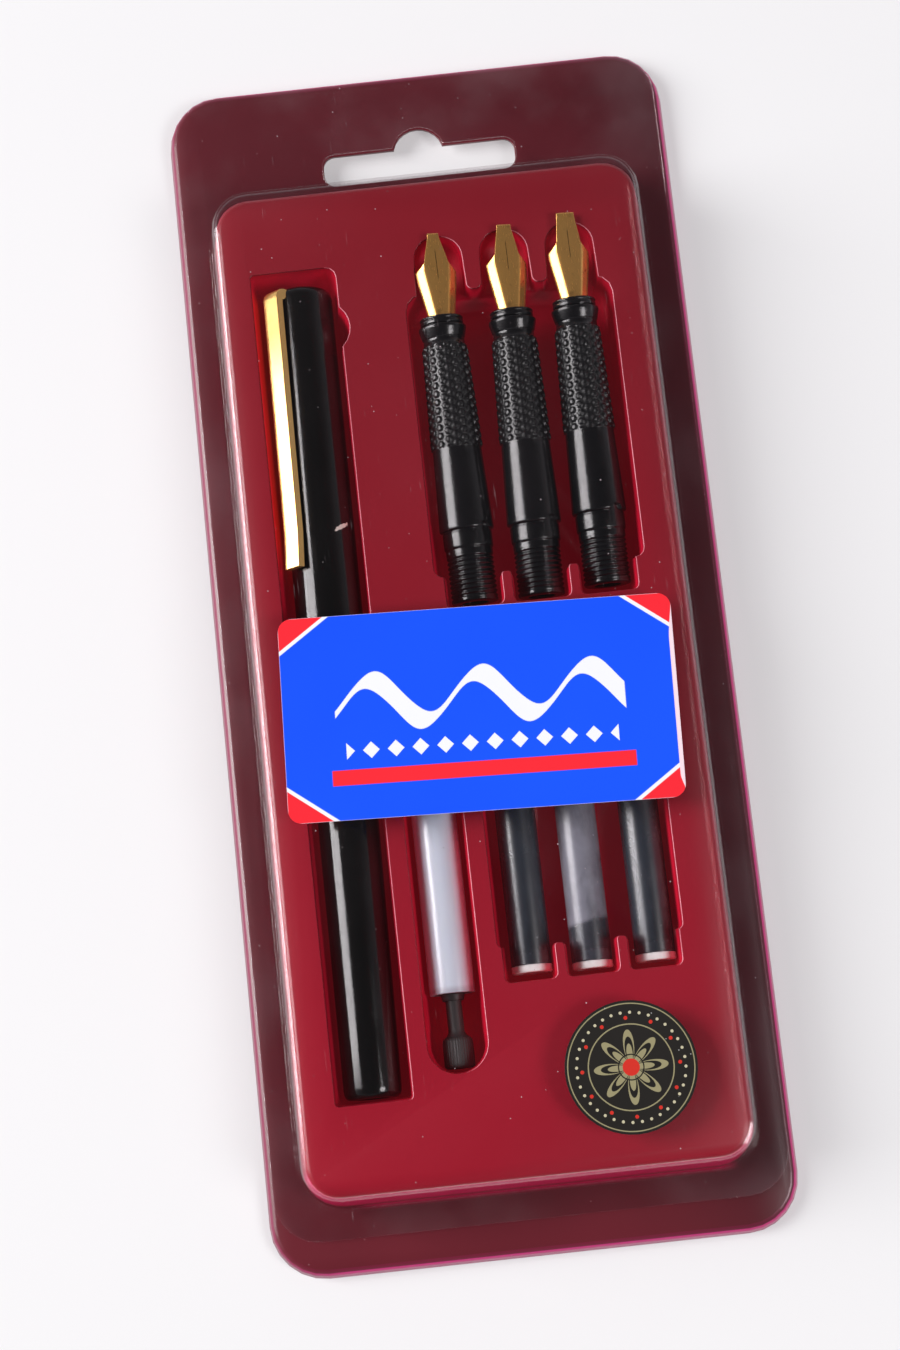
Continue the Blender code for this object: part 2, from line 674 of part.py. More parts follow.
def build_tray(parts, cutters, finish):
    """The flange with its skirt, the island on it, and the pockets sunk in the island, all one sheet."""
    skirt_in = FLANGE_HEIGHT * math.tan(SKIRT_DRAFT)
    tray = add_object(
        "tray",
        drafted("tray", tray_corners(), 0, FLANGE_HEIGHT, SKIRT_DRAFT, -skirt_in, bevel=SKIRT_EDGE),
        parts, finish,
    )
    margin = island_margin()
    island = drafted(
        "island_skin", blister_corners(), FLANGE_HEIGHT - TRAY_SHEET / 2, ISLAND_TOP, ISLAND_DRAFT,
        margin, bevel=ISLAND_EDGE,
    )
    boolean(tray, "island", "UNION", make_cutter(add_object("island_skin", island, cutters)))

    hollows = new_collection("tray_hollows", cutters, hidden=True)
    under_flange = drafted(
        "under_flange", tray_corners(), -OVERRUN, FLANGE_HEIGHT - TRAY_SHEET, SKIRT_DRAFT,
        -skirt_in - TRAY_SHEET,
    )
    under_island = drafted(
        "under_island", blister_corners(), -OVERRUN, ISLAND_TOP - TRAY_SHEET, ISLAND_DRAFT,
        margin - TRAY_SHEET,
    )
    for mesh in (under_flange, under_island):
        make_cutter(add_object(mesh.name, mesh, hollows))
    boolean(tray, "hollow", "DIFFERENCE", hollows)

    walls = new_collection("pocket_walls", cutters, hidden=True)
    spaces = new_collection("pocket_spaces", cutters, hidden=True)
    for name, corners, floor in pocket_plan():
        steps = corner_steps(corners)
        wall = pocket_mesh(
            name + "_wall", corners, floor - TRAY_SHEET, TRAY_SHEET, ISLAND_TOP - TRAY_SHEET / 2, steps
        )
        make_cutter(add_object(wall.name, wall, walls))
        space = pocket_mesh(name + "_space", corners, floor, 0, ISLAND_TOP + OVERRUN, steps)
        make_cutter(add_object(space.name, space, spaces))
    for mesh in notch_meshes():
        make_cutter(add_object(mesh.name, mesh, walls if mesh.name == "notch_wall" else spaces))
    boolean(tray, "pocket walls", "UNION", walls)
    boolean(tray, "pocket spaces", "DIFFERENCE", spaces)

    slots = new_collection("tray_slot", cutters, hidden=True)
    for mesh in slot_meshes("tray_slot", -OVERRUN, FLANGE_HEIGHT + OVERRUN):
        make_cutter(add_object(mesh.name, mesh, slots))
    boolean(tray, "hanging slot", "DIFFERENCE", slots)
    return tray


# Cover and stickers


def build_cover(parts, cutters, finish):
    """A flat flange on the tray's, and a drafted blister with a rounded edge, all one clear sheet."""
    low = FLANGE_HEIGHT + SEAT_GAP
    half = COVER_WIDTH / 2
    flange = box_corners(-half, half, COVER_FOOT, COVER_HEAD, COVER_CORNER)
    outline = rounded_outline(flange)
    cover = add_object(
        "clear_cover", prism("clear_cover", outline, low, outline, low + COVER_SHEET), parts, finish
    )
    skin = drafted(
        "blister_skin", blister_corners(), low + COVER_SHEET / 2, BLISTER_TOP, BLISTER_DRAFT,
        bevel=BLISTER_EDGE,
    )
    boolean(cover, "blister", "UNION", make_cutter(add_object(skin.name, skin, cutters)))
    thickness = COVER_SHEET / math.cos(BLISTER_DRAFT)
    space = drafted(
        "blister_space", blister_corners(), low - OVERRUN, BLISTER_TOP - COVER_SHEET, BLISTER_DRAFT,
        COVER_SHEET * math.tan(BLISTER_DRAFT) - thickness, bevel=BLISTER_EDGE - COVER_SHEET,
    )
    boolean(cover, "blister space", "DIFFERENCE", make_cutter(add_object(space.name, space, cutters)))
    slots = new_collection("cover_slot", cutters, hidden=True)
    for mesh in slot_meshes("cover_slot", low - OVERRUN, low + OVERRUN, COVER_SLOT_MARGIN):
        make_cutter(add_object(mesh.name, mesh, slots))
    boolean(cover, "hanging slot", "DIFFERENCE", slots)
    return cover


def build_stickers(parts, cover, label_finish, seal_finish):
    """Two paper stickers, each a thin flat piece on the cover's top."""
    low = BLISTER_TOP + STICKER_GAP
    half_width, half_height = LABEL_WIDTH / 2, LABEL_HEIGHT / 2
    outline = rounded_outline(
        box_corners(-half_width, half_width, -half_height, half_height, LABEL_CORNER)
    )
    label = add_object(
        "front_label", prism("front_label", outline, 0, outline, STICKER_SHEET), parts,
        label_finish, cover, (0, LABEL_Y, low),
    )
    label.rotation_euler = (0, 0, LABEL_TURN)
    outline = circle_outline(0, 0, SEAL_RADIUS, SEAL_SIDES)
    add_object(
        "round_sticker", prism("round_sticker", outline, 0, outline, STICKER_SHEET), parts,
        seal_finish, cover, (SEAL_X, SEAL_Y, low),
    )


# Pen


def pen_axis_height():
    return PEN_FLOOR + SEAT_GAP + CAP_RADIUS


def cap_profile():
    """A capsule open at the mouth, with a rounded and slightly crowned head."""
    head = CAP_LENGTH - CAP_CROWN
    rim = CAP_RADIUS - CAP_TAPER - CAP_EDGE
    return [
        (0, CAP_LENGTH),
        (rim / 2, CAP_LENGTH - CAP_CROWN / 4),
        *fillet(rim, head - CAP_EDGE, CAP_EDGE, QUARTER, 0),
        (CAP_RADIUS, 0),
        (CAP_BORE, 0),
        (CAP_BORE, CAP_BORE_DEPTH),
        (0, CAP_BORE_DEPTH),
    ]


def clip_outline(inset):
    """The clip seen from its side, as (outward, along) points, with its top face and ends inset."""
    seat = CAP_RADIUS - CLIP_TANG
    head, face = CLIP_TOP - inset, CLIP_RADIUS - inset
    end = CLIP_TOP - CLIP_LENGTH + inset
    bend = CLIP_BEND - inset
    flare = CLIP_TOP - CLIP_LENGTH + CLIP_FLARE_LENGTH
    under = CLIP_RADIUS - CLIP_DEPTH
    foot = seat if inset == 0 else seat - OVERRUN
    inner = under if inset == 0 else under - OVERRUN
    tang = CLIP_TOP - CLIP_TANG_LENGTH
    return [
        (foot, head),
        (foot, tang),
        (inner, tang - CLIP_BEND / 2),
        (inner, flare),
        (inner + CLIP_FLARE, end),
        (face + CLIP_FLARE, end),
        (face + CLIP_FLARE / 3, flare - CLIP_FLARE_LENGTH / 3),
        (face, flare),
        *fillet(face - bend, head - bend, bend, 0, QUARTER),
    ]


def side_prism(name, outline, half_width):
    """An outline of (outward, along) points, made into a solid across X."""
    mesh = prism(name, outline, -half_width, outline, half_width)
    mesh.transform(Matrix(((0, 0, 1, 0), (1, 0, 0, 0), (0, 1, 0, 0), (0, 0, 0, 1))))
    return mesh


def build_clip(parts, cutters, axis, cap, finish):
    """A folded channel down the cap's upper left, its head seated in a slot of the cap."""
    turn = (0, 0, math.pi - CLIP_ANGLE)
    half = CLIP_WIDTH / 2
    clip = add_object("cap_clip", side_prism("cap_clip", clip_outline(0), half), parts, finish, axis)
    clip.rotation_euler = turn
    inside = side_prism("clip_inside", clip_outline(CLIP_SHEET), half - CLIP_SHEET)
    inside = make_cutter(add_object(inside.name, inside, cutters, None, axis))
    inside.rotation_euler = turn
    boolean(clip, "fold", "DIFFERENCE", inside)
    seat = block(
        "clip_seat",
        (-half - RUNNING_GAP, CAP_RADIUS - CLIP_TANG - RUNNING_GAP, CLIP_TOP - CLIP_SEAT_LENGTH),
        (half + RUNNING_GAP, CAP_RADIUS + OVERRUN, CLIP_TOP + RUNNING_GAP),
    )
    seat = make_cutter(add_object(seat.name, seat, cutters, None, axis))
    seat.rotation_euler = turn
    boolean(cap, "clip seat", "DIFFERENCE", seat)
    return clip


def build_pen(parts, cutters, cap_finish, barrel_finish, clip_finish):
    axis = axis_empty(
        "pen_axis", parts, (PEN_X, PEN_MOUTH_Y, pen_axis_height()), along_y(turn=PEN_TURN)
    )
    cap = turned("pen_cap", cap_profile(), PEN_SIDES, parts, cap_finish, axis)
    build_clip(parts, cutters, axis, cap, clip_finish)
    shoulder = -SEAT_GAP
    end = shoulder - BARREL_LENGTH
    profile = [
        (0, SPIGOT_LENGTH - BARREL_BORE_DEPTH),
        (BARREL_BORE, SPIGOT_LENGTH - BARREL_BORE_DEPTH),
        (BARREL_BORE, SPIGOT_LENGTH),
        (SPIGOT_RADIUS - SPIGOT_CHAMFER, SPIGOT_LENGTH),
        (SPIGOT_RADIUS, SPIGOT_LENGTH - SPIGOT_CHAMFER),
        (SPIGOT_RADIUS, shoulder),
        (BARREL_MOUTH_RADIUS, shoulder),
        *fillet(BARREL_END_RADIUS - BARREL_EDGE, end + BARREL_EDGE, BARREL_EDGE, 0, -QUARTER),
        (0, end),
    ]
    turned("pen_barrel", profile, PEN_SIDES, parts, barrel_finish, axis)
    return cap


# Nib sections


def nib_neck_half(tip_width):
    """Half the width of a nib where its wings end, a little over that of its tip."""
    half_tip = tip_width / 2
    return half_tip + (NIB_BODY_FACE - half_tip) / 4


def section_tilt(rear, roll, tip_width):
    """A section lies with its thread on the pocket's floor and its nib on the edge of the slot."""
    rear_height = NIB_FLOOR + SEAT_GAP + THREAD_RADIUS
    underside = (NIB_HEIGHT - NIB_DROP - NIB_SHEET / 2) * math.cos(roll)
    lower_edge = nib_neck_half(tip_width) * math.sin(abs(roll))
    tip_height = ISLAND_TOP + SEAT_GAP - underside + lower_edge
    return math.atan2(tip_height - rear_height, NIB_SLOT_HEAD - NIB_POCKET_CORNER - rear)


def section_profile():
    """The outside of a section from its front face back to its threaded end, and its two bores."""
    front = SECTION_LENGTH
    lip = front - LIP_LENGTH
    bead = lip - BEAD_LENGTH
    neck = bead - NECK_LENGTH
    grip = neck - GRIP_LENGTH
    smooth = grip - SMOOTH_LENGTH
    collar = smooth - COLLAR_LENGTH
    rows = [
        (
            GRIP_FRONT_RADIUS + (GRIP_REAR_RADIUS - GRIP_FRONT_RADIUS) * k / STUD_ROWS,
            neck - GRIP_LENGTH * k / STUD_ROWS,
        )
        for k in range(STUD_ROWS + 1)
    ]
    return [
        (INK_BORE, front - SECTION_BORE_DEPTH),
        (SECTION_BORE, front - SECTION_BORE_DEPTH),
        (SECTION_BORE, front),
        (LIP_RADIUS - FRONT_EDGE, front),
        (LIP_RADIUS, front - FRONT_EDGE),
        (LIP_RADIUS, lip + FRONT_EDGE),
        (LIP_RADIUS - GROOVE_DEPTH, lip),
        (BEAD_RADIUS - FRONT_EDGE, lip - FRONT_EDGE / 2),
        (BEAD_RADIUS, lip - FRONT_EDGE * 2),
        (BEAD_RADIUS, bead + FRONT_EDGE),
        (NECK_RADIUS, bead - FRONT_EDGE),
        *rows,
        (SHOULDER_RADIUS, smooth + FRONT_EDGE),
        (SHOULDER_RADIUS - FRONT_EDGE / 2, smooth),
        (COLLAR_RADIUS, smooth),
        (COLLAR_RADIUS, collar),
        (THREAD_RADIUS, collar),
        (THREAD_RADIUS, FRONT_EDGE),
        (THREAD_RADIUS - FRONT_EDGE, 0),
        (NIPPLE_BORE, 0),
        (NIPPLE_BORE, NIPPLE_BORE_DEPTH),
        (INK_BORE, NIPPLE_BORE_DEPTH),
        (INK_BORE, front - SECTION_BORE_DEPTH),
    ]


def section_mesh():
    """The section turned once, with every second point of its grip rows raised into a stud."""
    profile = section_profile()
    bm = bmesh.new()
    points = profile[:-1]
    vertices = [bm.verts.new((r, 0, z)) for r, z in points]
    for i in range(len(vertices)):
        bm.edges.new((vertices[i], vertices[(i + 1) % len(vertices)]))
    bmesh.ops.spin(
        bm, geom=bm.verts[:] + bm.edges[:], cent=(0, 0, 0), axis=(0, 0, 1), angle=FULL_TURN,
        steps=STUD_COLUMNS, use_merge=True, use_duplicate=False,
    )
    front = SECTION_LENGTH - LIP_LENGTH - BEAD_LENGTH - NECK_LENGTH
    row = GRIP_LENGTH / STUD_ROWS
    step = FULL_TURN / STUD_COLUMNS
    for vertex in bm.verts:
        radius = math.hypot(vertex.co.x, vertex.co.y)
        place = (front - vertex.co.z) / row
        inside = 0.5 < place < STUD_ROWS - 0.5 and radius > SECTION_BORE + STUD_HEIGHT
        column = round(math.atan2(vertex.co.y, vertex.co.x) / step)
        if inside and (round(place) + column) % 2 == 0:
            vertex.co.xy *= (radius + STUD_HEIGHT) / radius
    bmesh.ops.recalc_face_normals(bm, faces=bm.faces)
    for face in bm.faces:
        face.smooth = True
    mesh = bpy.data.meshes.new("grip_section")
    bm.to_mesh(mesh)
    bm.free()
    mesh.set_sharp_from_angle(angle=SHARP_ANGLE)
    return mesh


def nib_rows(length, tip_width):
    """Stations along a nib from its root: (distance, half face, wing, height over the axis)."""
    total = NIB_ROOT + length
    body = NIB_ROOT + length * NIB_BODY_SHARE
    neck = NIB_ROOT + length * NIB_NECK_SHARE
    half_tip = tip_width / 2
    neck_half = nib_neck_half(tip_width)
    drop = NIB_DROP
    return [
        (0, NIB_ROOT_FACE, NIB_ROOT_WING, NIB_HEIGHT),
        (NIB_ROOT, NIB_ROOT_FACE, NIB_ROOT_WING, NIB_HEIGHT),
        (body, NIB_BODY_FACE, NIB_BODY_WING, NIB_HEIGHT - drop / 4),
        ((body + neck) / 2, (NIB_BODY_FACE + neck_half) / 2, NIB_BODY_WING / 4, NIB_HEIGHT - drop / 2),
        (neck, neck_half, NIB_SHEET / 2, NIB_HEIGHT - drop * NIB_NECK_SHARE),
        (total, half_tip - NIB_SHEET / 2, NIB_SHEET / 2, NIB_HEIGHT - drop),
    ]


def build_nib(number, parts, cutters, axis, finish, length, tip_width):
    """A plate with a flat face between two folded wings, thickened, then slit from its tip."""
    bm = bmesh.new()
    rows = []
    start = SECTION_LENGTH - NIB_ROOT
    for along, face, wing, height in nib_rows(length, tip_width):
        out, down = wing * math.cos(NIB_FOLD), wing * math.sin(NIB_FOLD)
        places = [(-face - out, height - down), (-face, height), (face, height), (face + out, height - down)]
        rows.append([bm.verts.new((x, -y, start + along)) for x, y in places])
    for low, high in zip(rows, rows[1:]):
        for k in range(len(low) - 1):
            bm.faces.new((low[k], low[k + 1], high[k + 1], high[k]))
    mesh = bpy.data.meshes.new(f"nib_{number}")
    bm.to_mesh(mesh)
    bm.free()
    nib = add_object(f"nib_{number}", mesh, parts, finish, axis)
    solid = nib.modifiers.new("sheet", "SOLIDIFY")
    solid.thickness = NIB_SHEET
    solid.offset = 0
    solid.use_even_offset = False
    half = NIB_SLIT_WIDTH / 2
    end = SECTION_LENGTH + length
    slit = block(
        f"nib_slit_{number}", (-half, -NIB_HEIGHT - NIB_SHEET, end - NIB_SLIT_LENGTH),
        (half, 0, end + OVERRUN),
    )
    cutter = make_cutter(add_object(slit.name, slit, cutters, None, axis))
    boolean(nib, "slit", "DIFFERENCE", cutter)
    return nib


def block(name, low, high):
    """A plain box between two corners."""
    bm = bmesh.new()
    bmesh.ops.create_cube(bm, size=1.0)
    for vertex in bm.verts:
        vertex.co = [
            low[k] if vertex.co[k] < 0 else high[k] for k in (0, 1, 2)
        ]
    mesh = bpy.data.meshes.new(name)
    bm.to_mesh(mesh)
    bm.free()
    return mesh


def build_feed(number, parts, cutters, axis, finish):
    """A turned, finned bar cut flat under the nib."""
    root = SECTION_LENGTH - SECTION_BORE_DEPTH + SEAT_GAP
    end = SECTION_LENGTH + FEED_REACH
    profile = [(0, end), (FEED_TIP_RADIUS, end)]
    for i in range(FEED_FINS):
        top = SECTION_LENGTH + FEED_FIN_PITCH * (FEED_FINS - i)
        profile += [
            (FEED_RADIUS, top),
            (FEED_RADIUS, top - FEED_FIN_PITCH / 2),
            (FEED_RADIUS - FEED_FIN_DEPTH, top - FEED_FIN_PITCH / 2),
            (FEED_RADIUS - FEED_FIN_DEPTH, top - FEED_FIN_PITCH),
        ]
    profile += [(FEED_RADIUS, SECTION_LENGTH), (FEED_RADIUS, root), (0, root)]
    feed = turned(f"feed_{number}", profile, ROD_SIDES, parts, finish, axis)
    flat = block(
        f"feed_flat_{number}",
        (-FEED_RADIUS - OVERRUN, -FEED_RADIUS - OVERRUN, root - OVERRUN),
        (
            FEED_RADIUS + OVERRUN,
            -(NIB_HEIGHT - NIB_DROP - NIB_SHEET - SEAT_GAP / 3),
            end + OVERRUN,
        ),
    )
    cutter = make_cutter(add_object(flat.name, flat, cutters, None, axis))
    boolean(feed, "flat", "DIFFERENCE", cutter)
    return feed


def build_sections(parts, cutters, section_finish, nib_finish, feed_finish):
    shared = section_mesh()
    shared.materials.append(section_finish)
    places = zip(nib_centres(), SECTION_SLIPS, SECTION_TURNS, SECTION_ROLLS, NIB_LENGTHS, TIP_WIDTHS)
    for i, (x, slip, turn, roll, length, tip_width) in enumerate(places):
        number = i + 1
        rear = SECTION_REAR + slip
        tilt = section_tilt(rear, roll, tip_width)
        rest = NIB_FLOOR + SEAT_GAP + THREAD_RADIUS
        axis = axis_empty(f"section_axis_{number}", parts, (x, rear, rest), along_y(tilt, turn))
        section = add_object(f"grip_section_{number}", shared, parts, None, axis)
        section.rotation_euler = (0, 0, roll)
        rolled = axis_empty(f"nib_axis_{number}", parts, (0, 0, 0), (0, 0, roll))
        rolled.parent = axis
        build_nib(number, parts, cutters, rolled, nib_finish, length, tip_width)
        build_feed(number, parts, cutters, rolled, feed_finish)


# Converter


def build_converter(parts, tube_finish, black_finish, piston_finish, mouth_finish):
    """A tube with a mouth to push on a section, and a rod with a knob that works its piston."""
    height = CONVERTER_FLOOR + SEAT_GAP + TUBE_RADIUS
    axis = axis_empty("converter_axis", parts, (CONVERTER_X, CONVERTER_KNOB_END, height), along_y())
    cone = KNOB_LENGTH + KNOB_CONE_LENGTH
    bush = cone + ROD_SHOWING
    tube = bush + BUSH_LENGTH
    top = tube + TUBE_LENGTH
    plunger_end = tube + ROD_INSIDE
    plunger = turned(
        "converter_plunger",
        [
            (0, plunger_end),
            (ROD_RADIUS, plunger_end),
            (ROD_RADIUS, cone),
            *fillet(KNOB_RADIUS - KNOB_EDGE, KNOB_LENGTH - KNOB_EDGE, KNOB_EDGE, QUARTER, 0, 2),
            *fillet(KNOB_RADIUS - KNOB_EDGE, KNOB_EDGE, KNOB_EDGE, 0, -QUARTER, 2),
            (KNOB_DIMPLE, 0),
            (0, KNOB_EDGE),
        ],
        PEN_SIDES // 2, parts, black_finish, axis,
    )
    waist = TUBE_BORE * PISTON_WAIST_SHARE
    seal = TUBE_BORE - RUNNING_GAP
    piston_low = plunger_end + SEAT_GAP
    lip = PISTON_LENGTH / 4
    turned(
        "converter_piston",
        [
            (0, piston_low + PISTON_LENGTH),
            (seal, piston_low + PISTON_LENGTH),
            (seal, piston_low + PISTON_LENGTH - lip),
            (waist, piston_low + PISTON_LENGTH - lip),
            (waist, piston_low + lip),
            (seal, piston_low + lip),
            (seal, piston_low),
            (0, piston_low),
        ],
        CARTRIDGE_SIDES, parts, piston_finish, plunger,
    )
    turned(
        "converter_tube",
        [
            (TUBE_BORE, tube),
            (TUBE_BORE, top),
            (TUBE_RADIUS, top),
            (TUBE_RADIUS, tube),
            (TUBE_BORE, tube),
        ],
        CARTRIDGE_SIDES, parts, tube_finish, axis,
    )
    fit = TUBE_BORE - RUNNING_GAP
    turned(
        "converter_bush",
        [
            (BUSH_BORE, bush),
            (BUSH_BORE, tube + BUSH_SPIGOT),
            (fit, tube + BUSH_SPIGOT),
            (fit, tube + RUNNING_GAP),
            (BUSH_RADIUS, tube - RUNNING_GAP),
            (BUSH_STEM_RADIUS, bush),
            (BUSH_BORE, bush),
        ],
        CARTRIDGE_SIDES, parts, black_finish, axis,
    )
    shoulder = top + RUNNING_GAP
    turned(
        "converter_mouth",
        [
            (MOUTH_BORE, top - MOUTH_SPIGOT),
            (MOUTH_BORE, shoulder + MOUTH_LENGTH),
            (MOUTH_TIP_RADIUS, shoulder + MOUTH_LENGTH),
            (MOUTH_RADIUS, shoulder),
            (fit, shoulder),
            (fit, top - MOUTH_SPIGOT),
            (MOUTH_BORE, top - MOUTH_SPIGOT),
        ],
        CARTRIDGE_SIDES, parts, mouth_finish, axis,
    )


# Cartridges


def build_cartridges(parts, body_finish, plug_finish, ink_finish, ball_finish):
    """Three tubes, each with a plug in its rear end, a ball in its neck and its ink."""
    height = CARTRIDGE_FLOOR + SEAT_GAP + CARTRIDGE_RADIUS
    bore = CARTRIDGE_RADIUS - CARTRIDGE_WALL
    neck_bore = CARTRIDGE_NECK_RADIUS - CARTRIDGE_WALL
    rear = PLUG_BAND + RUNNING_GAP
    shoulder = CARTRIDGE_LENGTH - CARTRIDGE_NECK_LENGTH
    body_profile = [
        (bore, rear),
        (bore, shoulder - CARTRIDGE_SHOULDER),
        (neck_bore, shoulder),
        (neck_bore, CARTRIDGE_LENGTH),
        (CARTRIDGE_NECK_RADIUS, CARTRIDGE_LENGTH),
        (CARTRIDGE_NECK_RADIUS, shoulder + CARTRIDGE_WALL),
        (CARTRIDGE_RADIUS, shoulder - CARTRIDGE_SHOULDER + CARTRIDGE_WALL),
        (CARTRIDGE_RADIUS, rear),
        (bore, rear),
    ]
    fit = bore - RUNNING_GAP
    plug_profile = [
        (0, PLUG_BAND + PLUG_SPIGOT),
        (fit, PLUG_BAND + PLUG_SPIGOT),
        (fit, PLUG_BAND),
        (CARTRIDGE_RADIUS, PLUG_BAND),
        *fillet(CARTRIDGE_RADIUS - PLUG_EDGE, PLUG_EDGE, PLUG_EDGE, 0, -QUARTER, 2),
        (0, 0),
    ]
    ink_rear = PLUG_BAND + PLUG_SPIGOT + SEAT_GAP
    ink_space = shoulder - CARTRIDGE_SHOULDER - ink_rear
    places = zip(cartridge_centres(), CARTRIDGE_SHIFTS, CARTRIDGE_SLIPS, INK_SHARES)
    for i, (x, shift, slip, share) in enumerate(places):
        number = i + 1
        place = (x + shift, CARTRIDGE_END + slip, height)
        axis = axis_empty(f"cartridge_axis_{number}", parts, place, along_y())
        turned(f"cartridge_body_{number}", body_profile, CARTRIDGE_SIDES, parts, body_finish, axis)
        turned(f"cartridge_plug_{number}", plug_profile, CARTRIDGE_SIDES, parts, plug_finish, axis)
        ink_top = ink_rear + ink_space * share
        ink_profile = [(0, ink_top), (fit, ink_top), (fit, ink_rear), (0, ink_rear)]
        turned(f"cartridge_ink_{number}", ink_profile, CARTRIDGE_SIDES, parts, ink_finish, axis)
        ball = bpy.data.meshes.new(f"cartridge_ball_{number}")
        bm = bmesh.new()
        bmesh.ops.create_uvsphere(bm, u_segments=ROD_SIDES, v_segments=ROD_SIDES // 2, radius=BALL_RADIUS)
        bm.to_mesh(ball)
        bm.free()
        ball.shade_smooth()
        middle = CARTRIDGE_LENGTH - CARTRIDGE_NECK_LENGTH / 2
        add_object(ball.name, ball, parts, ball_finish, axis, (0, 0, middle))


# Assembly


def main():
    clear_scene()
    scene = bpy.context.scene.collection
    parts = new_collection("calligraphy_set_box", scene)
    cutters = new_collection("cutters", scene, hidden=True)

    tray_red = material("tray_red", (0.22, 0.018, 0.034), 0.30)
    clear = material("clear_pvc", (0.95, 0.95, 0.96), 0.05, alpha=0.2)
    label_blue = material("label_blue", (0.012, 0.10, 0.93), 0.35)
    seal_black = material("seal_black", (0.02, 0.02, 0.02), 0.35)
    black = material("black_plastic", (0.012, 0.011, 0.011), 0.12)
    gold = material("gold_plate", (0.83, 0.60, 0.24), 0.15, 1.0)
    nib_gold = material("nib_gold", (0.66, 0.44, 0.18), 0.22, 1.0)
    milky = material("milky_plastic", (0.48, 0.45, 0.52), 0.30)
    rubber = material("grey_rubber", (0.16, 0.16, 0.17), 0.60)
    smoke = material("smoky_plastic", (0.20, 0.20, 0.22), 0.25, alpha=0.6)
    white = material("white_plastic", (0.72, 0.70, 0.72), 0.35)
    ink = material("black_ink", (0.010, 0.011, 0.016), 0.10)
    glass = material("glass_bead", (0.70, 0.72, 0.74), 0.05)

    build_tray(parts, cutters, tray_red)
    cover = build_cover(parts, cutters, clear)
    build_stickers(parts, cover, label_blue, seal_black)
    build_pen(parts, cutters, black, black, gold)
    build_sections(parts, cutters, black, nib_gold, black)
    build_converter(parts, milky, black, rubber, black)
    build_cartridges(parts, smoke, white, ink, glass)


main()
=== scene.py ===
"""Looks of the calligraphy set box: materials, finer turned pieces, light and camera."""

import math

import bmesh
import bpy
from mathutils import Euler, Matrix, Vector


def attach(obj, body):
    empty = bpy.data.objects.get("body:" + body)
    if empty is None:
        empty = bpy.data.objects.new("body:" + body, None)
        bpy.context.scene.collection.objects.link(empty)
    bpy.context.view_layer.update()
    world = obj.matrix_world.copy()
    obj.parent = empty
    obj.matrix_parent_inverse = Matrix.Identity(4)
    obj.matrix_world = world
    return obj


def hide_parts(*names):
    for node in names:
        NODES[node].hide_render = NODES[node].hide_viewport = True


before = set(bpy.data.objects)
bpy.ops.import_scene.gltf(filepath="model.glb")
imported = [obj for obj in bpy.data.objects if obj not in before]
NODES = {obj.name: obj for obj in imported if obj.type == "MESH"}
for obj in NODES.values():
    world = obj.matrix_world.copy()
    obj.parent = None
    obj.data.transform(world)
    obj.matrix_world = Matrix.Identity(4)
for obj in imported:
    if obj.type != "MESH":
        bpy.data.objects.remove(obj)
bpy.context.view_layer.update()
MM = 0.001


# Node expressions: a value on a node tree, with the usual arithmetic


class Value:
    """One socket's number; each operation adds a node to its tree."""

    def __init__(self, tree, socket):
        self.tree = tree
        self.socket = socket

    def math(self, operation, *others):
        node = self.tree.nodes.new("ShaderNodeMath")
        node.operation = operation
        for slot, item in zip(node.inputs, (self, *others)):
            if isinstance(item, Value):
                self.tree.links.new(item.socket, slot)
            else:
                slot.default_value = item
        return Value(self.tree, node.outputs[0])

    def __add__(self, other):
        return self.math("ADD", other)

    def __sub__(self, other):
        return self.math("SUBTRACT", other)

    def __mul__(self, other):
        return self.math("MULTIPLY", other)

    def __rsub__(self, other):
        return self * -1 + other

    def __neg__(self):
        return self * -1

    def abs(self):
        return self.math("ABSOLUTE")

    def sin(self):
        return self.math("SINE")

    def cos(self):
        return self.math("COSINE")

    def sqrt(self):
        return self.math("SQRT")

    def power(self, exponent):
        return self.math("POWER", exponent)

    def least(self, other):
        return self.math("MINIMUM", other)

    def most(self, other):
        return self.math("MAXIMUM", other)

    def wrap(self, high, low=0.0):
        return self.math("WRAP", high, low)

    def step(self, low, high, out_low=0.0, out_high=1.0):
        """Smoothly from out_low at low to out_high at high."""
        node = self.tree.nodes.new("ShaderNodeMapRange")
        node.interpolation_type = "SMOOTHSTEP"
        if low > high:
            low, high, out_low, out_high = high, low, out_high, out_low
        for name, number in (
            ("From Min", low), ("From Max", high), ("To Min", out_low), ("To Max", out_high),
        ):
            node.inputs[name].default_value = number
        self.tree.links.new(self.socket, node.inputs["Value"])
        return Value(self.tree, node.outputs["Result"])

    def within(self, reach, soft):
        """1 where this value is under reach, 0 where it is over, with an edge of width soft."""
        return self.step(reach + soft / 2, reach - soft / 2)


